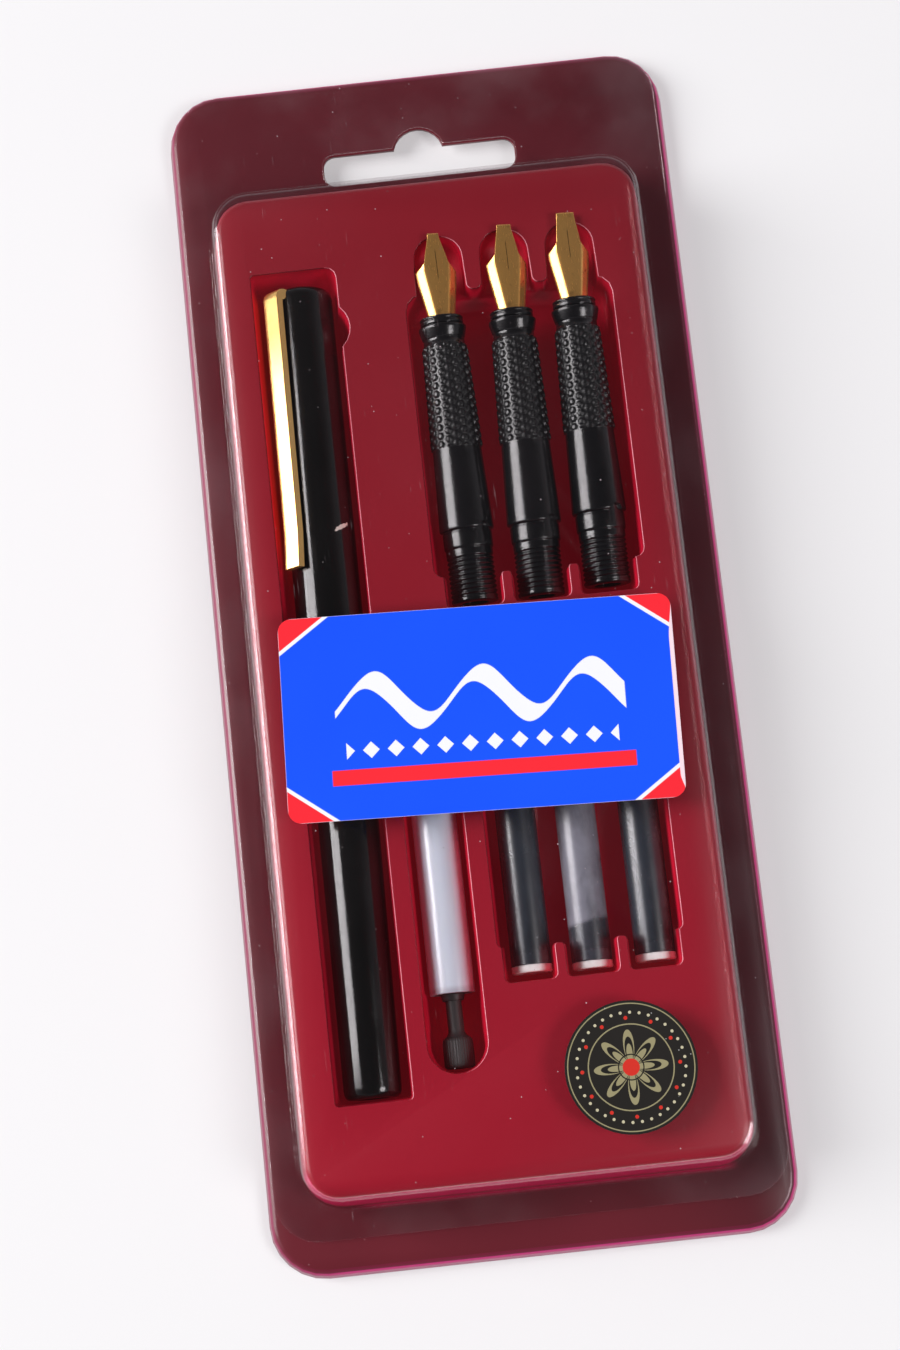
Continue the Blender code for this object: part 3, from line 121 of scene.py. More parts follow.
class Looks:
    """A material with a Principled shader, its object coordinates in millimetres, and helpers."""

    def __init__(self, name, colour=(0.5, 0.5, 0.5), roughness=0.4, metallic=0.0, **settings):
        self.material = bpy.data.materials.new(name)
        self.material.use_nodes = True
        self.tree = self.material.node_tree
        self.shader = self.tree.nodes["Principled BSDF"]
        self.output = self.tree.nodes["Material Output"]
        coords = self.tree.nodes.new("ShaderNodeTexCoord")
        self.place = coords.outputs["Object"]
        split = self.tree.nodes.new("ShaderNodeSeparateXYZ")
        self.tree.links.new(self.place, split.inputs[0])
        self.x, self.y, self.z = (Value(self.tree, s) * (1 / MM) for s in split.outputs)
        self.set("Base Color", (*colour, 1))
        self.set("Roughness", roughness)
        self.set("Metallic", metallic)
        for key, number in settings.items():
            self.set(key.replace("_", " "), number)

    def set(self, name, item):
        slot = self.shader.inputs[name]
        if isinstance(item, Value):
            self.tree.links.new(item.socket, slot)
        elif hasattr(item, "is_output"):
            self.tree.links.new(item, slot)
        else:
            slot.default_value = item

    def new(self, kind, **inputs):
        node = self.tree.nodes.new(kind)
        for name, item in inputs.items():
            slot = node.inputs[name.replace("_", " ")]
            if isinstance(item, Value):
                self.tree.links.new(item.socket, slot)
            elif hasattr(item, "is_output"):
                self.tree.links.new(item, slot)
            else:
                slot.default_value = item
        return node

    def value(self, socket):
        return Value(self.tree, socket)

    def stretched(self, sx, sy, sz):
        node = self.new("ShaderNodeVectorMath")
        node.operation = "MULTIPLY"
        self.tree.links.new(self.place, node.inputs[0])
        node.inputs[1].default_value = (sx, sy, sz)
        return node.outputs[0]

    def noise(self, size, detail=2.0, roughness=0.5, stretch=(1, 1, 1)):
        """Noise from 0 to 1 whose blotches are about size millimetres."""
        scale = 1 / (size * MM)
        node = self.new("ShaderNodeTexNoise", Scale=1.0, Detail=detail, Roughness=roughness)
        self.tree.links.new(self.stretched(*(scale * s for s in stretch)), node.inputs["Vector"])
        return self.value(node.outputs["Fac"])

    def specks(self, size, share, radius):
        """Round specks of dust in cells of size millimetres; a share of the cells holds one."""
        scale = 1 / (size * MM)
        cells = self.new("ShaderNodeTexVoronoi", Scale=1.0)
        self.tree.links.new(self.stretched(scale, scale, scale), cells.inputs["Vector"])
        tone = self.new("ShaderNodeSeparateColor")
        self.tree.links.new(cells.outputs["Color"], tone.inputs[0])
        spot = self.value(cells.outputs["Distance"]).step(radius, radius * 0.6)
        chosen = self.value(tone.outputs[0]).step(1 - share, 1 - share * 0.9)
        return spot * chosen

    def blend(self, fac, first, second):
        """first where fac is 0, second where it is 1; each a colour or a socket."""
        node = self.tree.nodes.new("ShaderNodeMix")
        node.data_type = "RGBA"
        if isinstance(fac, Value):
            self.tree.links.new(fac.socket, node.inputs[0])
        else:
            node.inputs[0].default_value = fac
        for slot, item in ((node.inputs[6], first), (node.inputs[7], second)):
            if hasattr(item, "is_output"):
                self.tree.links.new(item, slot)
            else:
                slot.default_value = (*item, 1)
        return node.outputs[2]

    def normal(self):
        """The true normal's x, y and z."""
        geometry = self.new("ShaderNodeNewGeometry")
        split = self.new("ShaderNodeSeparateXYZ")
        self.tree.links.new(geometry.outputs["True Normal"], split.inputs[0])
        return [self.value(s) for s in split.outputs]

    def mixed(self, share, first, second):
        """Puts first where share is 0 and second where it is 1; each a shader's socket."""
        mix = self.new("ShaderNodeMixShader")
        self.tree.links.new(share.socket, mix.inputs[0])
        self.tree.links.new(first, mix.inputs[1])
        self.tree.links.new(second, mix.inputs[2])
        self.tree.links.new(mix.outputs[0], self.output.inputs["Surface"])
        return mix.outputs[0]

    def bump(self, height, distance, strength=1.0):
        """Shades the surface as if height times distance millimetres stood out of it."""
        node = self.new("ShaderNodeBump", Strength=strength, Distance=distance * MM)
        self.tree.links.new(height.socket, node.inputs["Height"])
        self.tree.links.new(node.outputs[0], self.shader.inputs["Normal"])
        return node


def wear(obj, looks):
    """Gives all of an object one material."""
    obj.data.materials.clear()
    obj.data.materials.append(looks.material)


def linear(*channels):
    """A colour of 0 to 255 as Blender's linear numbers."""
    return tuple(
        c / 255 / 12.92 if c <= 10 else ((c / 255 + 0.055) / 1.055) ** 2.4 for c in channels
    )


# Tray


TRAY_HALF_WIDTH, TRAY_HALF_LENGTH, TRAY_CORNER = 43.0, 101.5, 9.0
# Bands of height that hold the top edges of the flange and of the island
FLANGE_RIM, ISLAND_RIM = (2.4, 2.8), (12.2, 12.8)


def tray_looks():
    looks = Looks("tray_plastic", roughness=0.3)
    x, y, z = looks.x, looks.y, looks.z
    nx, _, nz = looks.normal()
    # The island's top and all its pockets, and what lies outside them
    inner = x.abs().step(33.4, 33.0) * y.step(-81.0, -80.6) * y.step(73.0, 72.6)
    outer = 1 - inner
    top = looks.blend(y.step(-80, 70), linear(162, 20, 42), linear(128, 25, 36))
    top = looks.blend(looks.noise(60, 3) * 0.5, top, linear(154, 27, 45))
    flange = looks.blend(looks.noise(25, 3), linear(90, 27, 36), linear(108, 34, 45))
    flange = looks.blend(x.step(20, 42) * 0.45, flange, linear(62, 22, 30))
    wall = nz.abs().step(0.85, 0.6)
    # Painted glow: the pockets' walls and floors get a brighter crimson than the island's top,
    # standing in for light inside the thin sheet
    pocket_glow = looks.blend(looks.noise(9, 2), linear(190, 14, 40), linear(206, 18, 54))
    # Painted glow: the island's outer walls are magenta, and brighter still along the end wall at
    # the foot
    side = looks.blend(looks.noise(8, 2), linear(150, 16, 46), linear(184, 24, 66))
    foot = y.step(-84, -86)
    side = looks.blend(foot, side, linear(205, 20, 98))
    # The rounded rims of the pockets catch the light where they face left or along
    rim = inner * z.step(12.1, 12.25) * nz.step(0.985, 0.95) * nz.step(0.05, 0.2)
    lit = rim * (-nx).step(0.05, 0.5)
    colour = looks.blend(inner * z.step(12.3, 11.9), top, pocket_glow)
    colour = looks.blend(outer * wall * z.step(12.2, 11.9), colour, side)
    colour = looks.blend(outer * z.step(5.0, 4.0), colour, flange)
    # The flange's outer edge is lit through, and so is its floor at the foot of the end wall
    across = (x.abs() - (TRAY_HALF_WIDTH - TRAY_CORNER)).most(0.0)
    along = (y.abs() - (TRAY_HALF_LENGTH - TRAY_CORNER)).most(0.0)
    from_corner = (across * across + along * along).sqrt()
    brink = from_corner.step(TRAY_CORNER - 1.1, TRAY_CORNER - 0.3) * z.step(1.9, 2.3)
    colour = looks.blend(brink * 0.6, colour, linear(160, 40, 88))
    spill = z.step(3.4, 3.0) * y.step(-91.4, -90.3) * y.step(-86, -88)
    spill = spill * x.step(-30, -24) * x.step(34, 30)
    colour = looks.blend(spill * 0.85, colour, linear(196, 20, 92))
    far_out = x.abs().step(38, 40).most(y.abs().step(96, 98))
    skirt = nz.abs().step(0.97, 0.8) * z.step(3.4, 2.8) * far_out
    # Painted glow along the skirt, dimmer on the left
    skirt_glow = looks.blend(x.step(-42, -30), linear(128, 24, 66), linear(206, 36, 120))
    colour = looks.blend(skirt, colour, skirt_glow)
    dust = looks.specks(2.3, 0.16, 0.05).most(looks.specks(4.1, 0.12, 0.03))
    colour = looks.blend(dust * 0.5, colour, linear(205, 160, 165))
    # Painted highlight on the pocket rims that face left
    colour = looks.blend(lit * 0.9, colour, linear(244, 150, 166))
    looks.set("Base Color", colour)
    # Light inside the thin sheet: the pockets, the end wall and the wall beside the clip glow
    beside = inner * z.step(12.1, 11.6) * x.step(-28.2, -29.0) * y.step(8, 20) * y.step(64, 60)
    glow = (inner * z.step(12.2, 10.0) * 0.085).most(beside * z.step(3, 9) * 0.34)
    glow = glow.most(outer * wall * foot * z.step(3.2, 3.8) * 0.16).most(spill * 0.14)
    looks.set("Emission Color", looks.blend(beside, linear(214, 22, 48), linear(226, 36, 22)))
    looks.set("Emission Strength", glow)
    skin = looks.noise(3.5, 2) * 0.5 + looks.noise(0.25, 2) * 0.06
    looks.bump(skin, 0.03)
    return looks


# Cover


def cover_looks():
    """Clear sheet: it lets through, shines by its slant, and carries dust, scratches and haze."""
    looks = Looks("clear_sheet", colour=(0.96, 0.95, 0.96), metallic=1.0)
    z = looks.z
    scratches = looks.noise(0.4, 3, stretch=(1, 0.08, 1)).step(0.68, 0.78)
    scratches = scratches * looks.noise(14, 2).step(0.52, 0.66)
    looks.set("Roughness", looks.noise(12, 3).step(0.35, 0.7, 0.04, 0.11))
    waved = looks.bump(looks.noise(16, 2), 0.12)
    facing = looks.new("ShaderNodeFresnel", IOR=1.5)
    looks.tree.links.new(waved.outputs[0], facing.inputs["Normal"])
    level = looks.normal()[2].abs().step(0.9, 0.98) * z.step(15.5, 16.0)
    shine = looks.value(facing.outputs[0]).least(0.2) * (1 - level * 0.6)
    clear = looks.new("ShaderNodeBsdfTransparent", Color=(0.985, 0.975, 0.98, 1))
    sheet = looks.mixed(shine, clear.outputs[0], looks.shader.outputs[0])
    haze = looks.new("ShaderNodeBsdfDiffuse", Color=(*linear(225, 205, 212), 1))
    swept = looks.noise(16, 3).step(0.42, 0.62, 0.15, 1.0)
    dusty = (looks.specks(2.0, 0.26, 0.07) * swept).most(looks.specks(3.4, 0.10, 0.045))
    dusty = dusty.most(scratches * 0.16)
    film = looks.noise(30, 3).step(0.35, 0.8, 0.0, 0.003)
    flange = z.step(4.2, 3.6) * looks.noise(18, 4).step(0.4, 0.8, 0.0, 0.03)
    looks.mixed((dusty * 0.6).most(film + flange), sheet, haze.outputs[0])
    return looks


# Stickers


LABEL_Y, LABEL_TURN = -14.0, 2.15
SEAL_X, SEAL_Y = 17.4, -73.7


def label_looks():
    looks = Looks("label_paper", roughness=0.4, Specular_IOR_Level=0.15)
    turn = math.radians(LABEL_TURN)
    dx, dy = looks.x, looks.y - LABEL_Y
    u = dx * math.cos(turn) - dy * math.sin(turn)
    v = dx * math.sin(turn) + dy * math.cos(turn)
    blue, red, white = linear(22, 76, 240), linear(244, 44, 56), linear(240, 240, 246)
    colour = looks.blend(looks.noise(40, 2), blue, linear(28, 90, 252))
    # A broad pen's wave across the middle, thin where it rises and thick where it falls
    phase = (u + 22) * (2 * math.pi / 17.6)
    wave = phase.sin() * 3.4 + 2.2
    slope = phase.cos()
    width = slope.step(-1, 1, 2.2, 0.55)
    ends = u.abs().within(23.5, 0.2)
    stroke = (width - (v - wave).abs()).step(-0.1, 0.1) * ends
    colour = looks.blend(stroke, colour, white)
    # A line of diamonds under it, and a red rule
    cell = (u + 24).wrap(4.0) - 2.0
    diamond = (cell.abs() + (v + 5.6).abs()).within(1.35, 0.15) * u.abs().within(22.0, 0.1)
    colour = looks.blend(diamond, colour, white)
    rule = (v + 9.9).abs()
    colour = looks.blend(rule.within(1.25, 0.15) * u.abs().within(24.5, 0.2), colour, red)
    # Corners cut off in white and red, a pale edge, and the paper's right end where it lifts: its
    # pale cut edge with a painted highlight
    corner = u.abs() * 0.8 + v.abs() * 1.1
    colour = looks.blend(corner.step(37.3, 37.5), colour, white)
    colour = looks.blend(corner.step(38.1, 38.3), colour, red)
    edge = (u.abs() - 31.93).most(v.abs() - 16.73).step(-0.02, 0.04)
    colour = looks.blend(edge * 0.6, colour, linear(226, 214, 232))
    lifted = v.step(-16.2, -13.0) * v.step(16.2, 9.0, 0.0, 0.75)
    lifted_end_and_highlight = (u - (32.05 - lifted)).step(-0.05, 0.05) * v.abs().within(16.0, 0.6)
    colour = looks.blend(lifted_end_and_highlight, colour, linear(244, 218, 228))
    looks.set("Base Color", colour)
    looks.bump(looks.noise(9, 2), 0.04)
    return looks


def seal_looks():
    looks = Looks("seal_paper", roughness=0.4, Specular_IOR_Level=0.18)
    dx, dy = looks.x - SEAL_X, looks.y - SEAL_Y
    r = (dx * dx + dy * dy).sqrt()
    angle = dy.math("ARCTAN2", dx)
    olive, cream, red = linear(150, 142, 108), linear(196, 188, 158), linear(206, 50, 40)
    black = linear(34, 32, 30)
    colour = looks.blend(looks.noise(12, 3) * 0.5, black, linear(46, 42, 40))

    def ring(radius, half):
        return (r - radius).abs().within(half, 0.06)

    def beads(count, radius, size, shift=0.0):
        turn = 2 * math.pi / count
        across = ((angle + math.pi + shift).wrap(turn) - turn / 2) * radius
        along = r - radius
        return (across * across + along * along).sqrt().within(size, 0.06)

    def petals(count, reach, low, power):
        lobe = (angle * (count / 2)).cos().abs().power(power) * reach + low
        return (r - lobe).step(0.06, -0.06)

    colour = looks.blend(ring(10.0, 0.09), colour, olive)
    colour = looks.blend(beads(36, 8.6, 0.24), colour, cream)
    colour = looks.blend(beads(12, 7.75, 0.30, 0.26), colour, red)
    colour = looks.blend(ring(6.75, 0.10), colour, olive)
    colour = looks.blend(petals(8, 4.3, 1.6, 1.4), colour, olive)
    colour = looks.blend(petals(8, 3.6, 1.2, 1.4), colour, black)
    colour = looks.blend(petals(8, 2.7, 1.0, 1.8), colour, olive)
    colour = looks.blend(ring(2.0, 0.10), colour, black)
    colour = looks.blend(r.within(1.35, 0.06), colour, red)
    colour = looks.blend(looks.specks(0.9, 0.1, 0.14) * 0.6, colour, linear(200, 200, 200))
    looks.set("Base Color", colour)
    looks.bump(looks.noise(5, 2), 0.03)
    return looks


# Pen


def black_looks(name, tone=(16, 15, 15), roughness=0.13, chip=None):
    """Black plastic with lint and fine scratches, and a chip at (x, z) if asked."""
    looks = Looks(name)
    base = looks.blend(looks.noise(14, 3), linear(*tone), linear(*(c * 0.8 for c in tone)))
    lint = looks.specks(1.5, 0.07, 0.09)
    base = looks.blend(lint * 0.5, base, linear(150, 145, 145))
    if chip:
        dx, dy = looks.x - chip[0], looks.z - chip[1]
        along = dx * 0.83 + dy * 0.55
        across = dy * 0.83 - dx * 0.55
        wobble = looks.noise(0.45, 3) * 1.2
        mark = (along * along * 0.30 + across * across * 4.0 + wobble).step(1.12, 0.95)
        base = looks.blend(mark, base, linear(244, 232, 222))
    looks.set("Base Color", base)
    scratch = looks.noise(0.35, 3, stretch=(1, 1, 0.03)).step(0.62, 0.72)
    sheen = looks.noise(7, 3).step(0.3, 0.7, roughness * 0.85, roughness * 1.3)
    looks.set("Roughness", sheen + scratch * 0.08)
    looks.bump(looks.noise(2.2, 2), 0.006)
    return looks


CLIP_LEAN = 0.36


def clip_looks():
    """Polished gold; its shading leans upwards, as a face pressed slightly hollow does."""
    looks = Looks("clip_gold", metallic=0.82)
    streaks = looks.noise(5, 3, stretch=(1, 0.2, 1))
    tint = looks.blend(streaks, linear(252, 214, 138), linear(238, 190, 108))
    worn = looks.noise(0.8, 3, stretch=(1, 0.3, 1)).step(0.66, 0.74)
    looks.set("Base Color", looks.blend(worn * 0.3, tint, linear(176, 128, 78)))
    looks.set("Roughness", looks.noise(6, 3).step(0.3, 0.7, 0.17, 0.25))
    bump = looks.bump(looks.noise(4, 2), 0.008)
    geometry = looks.new("ShaderNodeNewGeometry")
    lean = looks.new("ShaderNodeVectorMath")
    looks.tree.links.new(geometry.outputs["Normal"], lean.inputs[0])
    lean.inputs[1].default_value = (0.0, 0.0, CLIP_LEAN)
    unit = looks.new("ShaderNodeVectorMath")
    unit.operation = "NORMALIZE"
    looks.tree.links.new(lean.outputs[0], unit.inputs[0])
    looks.tree.links.new(unit.outputs[0], bump.inputs["Normal"])
    return looks


# Shapes


def node_group(name, build):
    group = bpy.data.node_groups.get(name)
    if group is None:
        group = bpy.data.node_groups.new(name, "GeometryNodeTree")
        for way in ("INPUT", "OUTPUT"):
            group.interface.new_socket("Geometry", in_out=way, socket_type="NodeSocketGeometry")
        build(group)
    return group


def welded_smooth(group, angle, bands, merge):
    """Joins the loaded triangles, smooths them and marks the sharp edges that are rounded.

    Where bands of height are given, only the edges inside them are marked.
    """
    chain = [
        group.nodes.new(kind) for kind in (
            "NodeGroupInput", "GeometryNodeMergeByDistance", "GeometryNodeRemoveAttribute",
            "GeometryNodeSetShadeSmooth", "GeometryNodeStoreNamedAttribute", "NodeGroupOutput",
        )
    ]
    chain[1].inputs["Distance"].default_value = merge * MM
    chain[2].inputs["Name"].default_value = "custom_normal"
    chain[4].data_type = "FLOAT"
    chain[4].domain = "EDGE"
    chain[4].inputs["Name"].default_value = "bevel_weight_edge"
    for before, after in zip(chain, chain[1:]):
        group.links.new(before.outputs[0], after.inputs[0])
    bend = group.nodes.new("GeometryNodeInputMeshEdgeAngle")
    position = group.nodes.new("GeometryNodeInputPosition")
    split = group.nodes.new("ShaderNodeSeparateXYZ")
    group.links.new(position.outputs[0], split.inputs[0])
    sharp = Value(group, bend.outputs[0]).math("GREATER_THAN", math.radians(angle))
    height = Value(group, split.outputs[2])
    within = None
    for low, high in bands:
        band = height.math("GREATER_THAN", low * MM) * height.math("LESS_THAN", high * MM)
        within = within.most(band) if within else band
    group.links.new((sharp * within if bands else sharp).socket, chain[4].inputs["Value"])


def soften(obj, width, segments=3, angle=30, bands=(), merge=0.01):
    """Rounds the sharp edges of a loaded node with modifiers, without touching its mesh."""
    modifier = obj.modifiers.new("welded", "NODES")
    modifier.node_group = node_group(
        f"welded_{angle}_{len(bands)}", lambda group: welded_smooth(group, angle, bands, merge)
    )
    bevel = obj.modifiers.new("round", "BEVEL")
    bevel.width = width * MM
    bevel.segments = segments
    bevel.offset_type = "WIDTH"
    bevel.limit_method = "WEIGHT"
    bevel.loop_slide = False
    bevel.use_clamp_overlap = False
    bevel.harden_normals = True


def lying(x, y, z, tilt=0.0, turn=0.0, roll=0.0):
    """The frame of a piece that lies along Y: its own Z runs from foot to head, its -Y is up."""
    lean = Euler((tilt - math.pi / 2, 0, turn)).to_matrix().to_4x4()
    return Matrix.Translation(Vector((x, y, z)) * MM) @ lean @ Matrix.Rotation(roll, 4, "Z")


def add(name, mesh, place, looks, body, node, sharp=35):
    """A mesh made in millimetres, put in its place, dressed, riding on a body for a node."""
    mesh.transform(Matrix.Scale(MM, 4))
    obj = bpy.data.objects.new(name, mesh)
    bpy.context.scene.collection.objects.link(obj)
    obj.matrix_world = place
    mesh.shade_smooth()
    mesh.set_sharp_from_angle(angle=math.radians(sharp))
    wear(obj, looks)
    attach(obj, body)
    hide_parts(node)
    return obj


def finished(bm, name):
    """The mesh of a bmesh, with its faces all turned outwards."""
    bmesh.ops.recalc_face_normals(bm, faces=bm.faces)
    mesh = bpy.data.meshes.new(name)
    bm.to_mesh(mesh)
    bm.free()
    return mesh


def ringed(name, rings):
    """A mesh through rings of points; a ring of one point closes it."""
    bm = bmesh.new()
    made = [[bm.verts.new(p) for p in ring] for ring in rings]
    for a, b in zip(made, made[1:]):
        count = max(len(a), len(b))
        for k in range(count):
            quad = [a[k % len(a)], a[(k + 1) % len(a)], b[(k + 1) % len(b)], b[k % len(b)]]
            quad = list(dict.fromkeys(quad))
            if len(quad) > 2:
                bm.faces.new(quad)
    return finished(bm, name)


def rounded_points(points, steps=4):
    """A profile whose corners given as (r, z, reach) are rounded."""
    result = []
    for i, (r, z, *reach) in enumerate(points):
        if not reach or i in (0, len(points) - 1):
            result.append((r, z))
            continue
        here = Vector((r, z))
        before, after = Vector(points[i - 1][:2]) - here, Vector(points[i + 1][:2]) - here
        start = here + before.normalized() * min(reach[0], before.length / 2)
        end = here + after.normalized() * min(reach[0], after.length / 2)
        for k in range(steps + 1):
            t = k / steps
            point = start * (1 - t) ** 2 + here * 2 * t * (1 - t) + end * t * t
            result.append((point.x, point.y))
    return result


def lathe(name, profile, place, looks, body, node, sides=96):
    """A profile of (radius, along, rounding) turned round Z, which replaces a node."""
    rings = []
    for r, z in rounded_points(profile):
        if r < 1e-6:
            rings.append([(0, 0, z)])
            continue
        turns = [2 * math.pi * k / sides for k in range(sides)]
        rings.append([(r * math.cos(t), r * math.sin(t), z) for t in turns])
    return add(name, ringed(name, rings), place, looks, body, node)


# Pen pieces


# Axis heights and places of what lies in the pockets, in millimetres; turns in radians
PEN = lying(-23.2, 0.8, 7.3, turn=-0.0087265)
CONVERTER = lying(-9.45, -70.7, 7.4)
CARTRIDGE_AXIS, SECTION_AXIS = 7.2, 7.25


def build_pen():
    lathe(
        "cap_shell",
        [
            (0, 61.6), (1.4, 61.53), (2.9, 61.3), (5.28, 60.75, 1.25), (5.6, 0, 0.2),
            (4.9, 0, 0.15), (4.9, 56), (0, 56),
        ],
        PEN, black_looks("cap_black", chip=(3.5, 18.8)), "box", "pen_cap", sides=128,
    )
    lathe(
        "barrel_shell",
        [
            (0, -57), (4.1, -57), (4.1, 8, 0.1), (4.5, 8, 0.3), (4.7, 7.4), (4.7, -0.3),
            (5.2, -0.3, 0.25), (4.7, -74.8, 1.7), (2.6, -74.8, 0.15), (2.5, -74.6, 0.1),
            (0, -74.6),
        ],
        PEN, black_looks("barrel_black"), "barrel", "pen_barrel", sides=128,
    )
    wear(NODES["cap_clip"], clip_looks())
    soften(NODES["cap_clip"], 0.16)


# Nib sections


# Along a section, every f is a distance in millimetres from its front face
SECTION = 48.5
STUD_COLUMNS, STUD_ROW, STUD_COLUMN, STUD_HEIGHT = 18, 1.43, 1.37, 0.32
STUDS_FROM, STUDS_TO = 4.9, 22.4
THREAD_FROM, THREAD_TO, THREAD_PITCH, THREAD_DEPTH = 40.4, 48.0, 0.79, 0.24
NOTCH_TURN, NOTCH_AT, NOTCH_REACH, NOTCH_FLOOR = math.radians(297), 36.7, 1.3, 3.98
# x, y, tilt, turn and roll in degrees, length of the nib, width of its tip
SECTION_PLACES = (
    (1.2, 5.2, 4.82, 0.63, 13, 14.4, 1.9), (12.3, 5.1, 4.83, -0.2, 12, 14.7, 2.4),
    (23.4, 5.8, 4.9, 0.35, 11, 14.9, 3.0),
)


def section_radius():
    """Points of (distance from the front face, radius) down the outside of a section."""
    return rounded_points([
        (0, 2.6), (0, 3.62, 0.25), (0.45, 3.62, 0.12), (0.5, 3.46, 0.05), (0.65, 3.46, 0.05),
        (0.7, 3.62, 0.12), (1.25, 3.6, 0.12), (1.35, 3.3, 0.05), (1.5, 3.3, 0.05),
        (1.58, 3.95, 0.12), (1.95, 4.0, 0.2), (3.6, 3.56, 0.15), (3.7, 3.42, 0.08), (4.7, 3.46),
        (4.75, 3.54), (22.5, 4.08), (34.9, 4.502),
        (36.3, 4.55, 0.3), (36.42, 4.0, 0.08), (36.7, 4.0, 0.08), (36.75, 4.12, 0.12),
        (39.3, 4.1, 0.25), (39.5, 3.9, 0.1), (48.5, 3.92, 0.4), (48.5, 2.2, 0.2), (44.5, 2.2),
    ], 3)


def stud_height(place, turn):
    """Six-sided studs in staggered columns, each a flat-topped pad between plain lanes."""
    column = turn / (2 * math.pi) * STUD_COLUMNS
    best = 9.0
    for whole in (math.floor(column), math.floor(column) + 1):
        shift = 0.5 if whole % 2 else 0.0
        along = place - shift
        dy = (along - round(along)) * STUD_ROW
        dx = (column - whole) * STUD_COLUMN
        reach = max(abs(dx) * 0.94 + abs(dy) * 0.50, abs(dy))
        best = min(best, reach)
    t = min(max((0.60 - best) / 0.26, 0), 1)
    return STUD_HEIGHT * t * t * (3 - 2 * t)


def section_mesh(name):
    """A turned section: studs on its grip, a thread, and a notch in its collar."""
    profile = section_radius()
    dense = []
    for (f0, r0), (f1, r1) in zip(profile, profile[1:]):
        if 4.7 <= f0 < 22.5 or 34.8 < f0 < 36.5:
            fine = 0.11
        else:
            fine = 0.07 if 39.4 < f0 < 47.9 else 1.5
        count = max(1, int(abs(f1 - f0) / fine))
        dense += [(f0 + (f1 - f0) * k / count, r0 + (r1 - r0) * k / count) for k in range(count)]
    dense.append(profile[-1])
    sides = 216
    rings = []
    for f, r in dense:
        ring = []
        for k in range(sides):
            turn = 2 * math.pi * k / sides
            radius = r
            outside = r > 3.4
            if STUDS_FROM < f < STUDS_TO and outside:
                ease = min(1, (f - STUDS_FROM) / 0.3, (STUDS_TO - f) / 0.1)
                radius += stud_height((f - 5.5) / STUD_ROW, turn) * ease
            if THREAD_FROM < f < THREAD_TO and outside:
                ease = min(1, (f - THREAD_FROM) / 0.5, (THREAD_TO - f) / 0.3)
                wave = math.cos(2 * math.pi * ((f - THREAD_FROM) / THREAD_PITCH + k / sides))
                radius -= ease * THREAD_DEPTH * (0.5 - 0.5 * wave)
            if 35.0 < f < 38.6 and outside:
                away = math.hypot((turn - NOTCH_TURN) * r, f - NOTCH_AT)
                if away < NOTCH_REACH:
                    radius = min(radius, NOTCH_FLOOR)
            ring.append((radius * math.cos(turn), radius * math.sin(turn), SECTION - f))
        rings.append(ring)
    return ringed(name, rings)


def nib_mesh(name, length, tip):
    """A plate that widens from a square tip, then narrows between two folded wings."""
    half = tip / 2
    grown = 2.08 - half
    spread = [
        (0, half), (0.04, half), (0.13, half + grown * 0.28), (0.25, half + grown * 0.70),
        (0.35, 2.06), (0.44, 1.98), (1.0, 0.85), (1.4, 0.8),
    ]
    wing = [(0.355, 0.0), (0.45, 1.85), (0.6, 1.95), (1.0, 1.7), (1.4, 1.2)]

    def reading(table, t):
        if t <= table[0][0]:
            return table[0][1]
        for i in range(len(table) - 1):
            (a, p), (b, q) = table[i], table[i + 1]
            if t <= b:
                s = (t - a) / (b - a)
                return p + (q - p) * s
        return table[-1][1]

    fold = math.radians(38)
    bend = 0.22
    rows = []
    count = 90
    for i in range(count + 1):
        t = 1.4 * i / count
        face = reading(spread, t)
        side = reading(wing, t) if t > wing[0][0] else 0.0
        height = 1.0 + 0.5 * min(t, 1.0) ** 0.9
        z = SECTION + length * (1 - t)
        line = []
        for k in range(4):
            s = side * (1 - k / 4)
            line.append((-face - s * math.cos(fold), height - s * math.sin(fold)))
        line.append((-face - bend * min(side, 1) * 0.35, height - bend * min(side, 1) * 0.22))
        line.append((-face + bend * 0.35, height - 0.005))
        for k in range(1, 8):
            u = -1 + 2 * k / 8
            line.append((u * (face - bend * 0.35), height + 0.05 * (1 - u * u)))
        mirror = [(-x, h) for x, h in reversed(line[:6])]
        rows.append([(x, -h, z) for x, h in line + mirror])
    bm = bmesh.new()
    made = [[bm.verts.new(p) for p in row] for row in rows]
    for a, b in zip(made, made[1:]):
        for k in range(len(a) - 1):
            bm.faces.new((a[k], a[k + 1], b[k + 1], b[k]))
    bmesh.ops.dissolve_degenerate(bm, dist=1e-4, edges=bm.edges)
    return finished(bm, name)


def build_sections():
    shared = section_looks("section_black")
    feed = black_looks("feed_black", (30, 28, 28), 0.4)
    for i, (x, y, tilt, turn, roll, length, tip) in enumerate(SECTION_PLACES):
        number = i + 1
        angles = [math.radians(a) for a in (tilt, turn, roll)]
        place = lying(x, y, SECTION_AXIS, *angles)
        # The roll is in the mesh, so that the section's own box stays as small as it is
        turned = section_mesh(f"section_turned_{number}")
        turned.transform(Matrix.Rotation(angles[2], 4, "Z"))
        add(
            f"section_turned_{number}", turned, lying(x, y, SECTION_AXIS, *angles[:2]), shared,
            "box", f"grip_section_{number}", sharp=60,
        )
        nib = add(
            f"nib_plate_{number}", nib_mesh(f"nib_plate_{number}", length, tip), place,
            nib_looks(f"nib_gold_{number}", SECTION + length), "box", f"nib_{number}", sharp=50,
        )
        sheet = nib.modifiers.new("sheet", "SOLIDIFY")
        sheet.thickness = 0.3 * MM
        sheet.offset = 0
        wear(NODES[f"feed_{number}"], feed)
        soften(NODES[f"feed_{number}"], 0.05, 1)


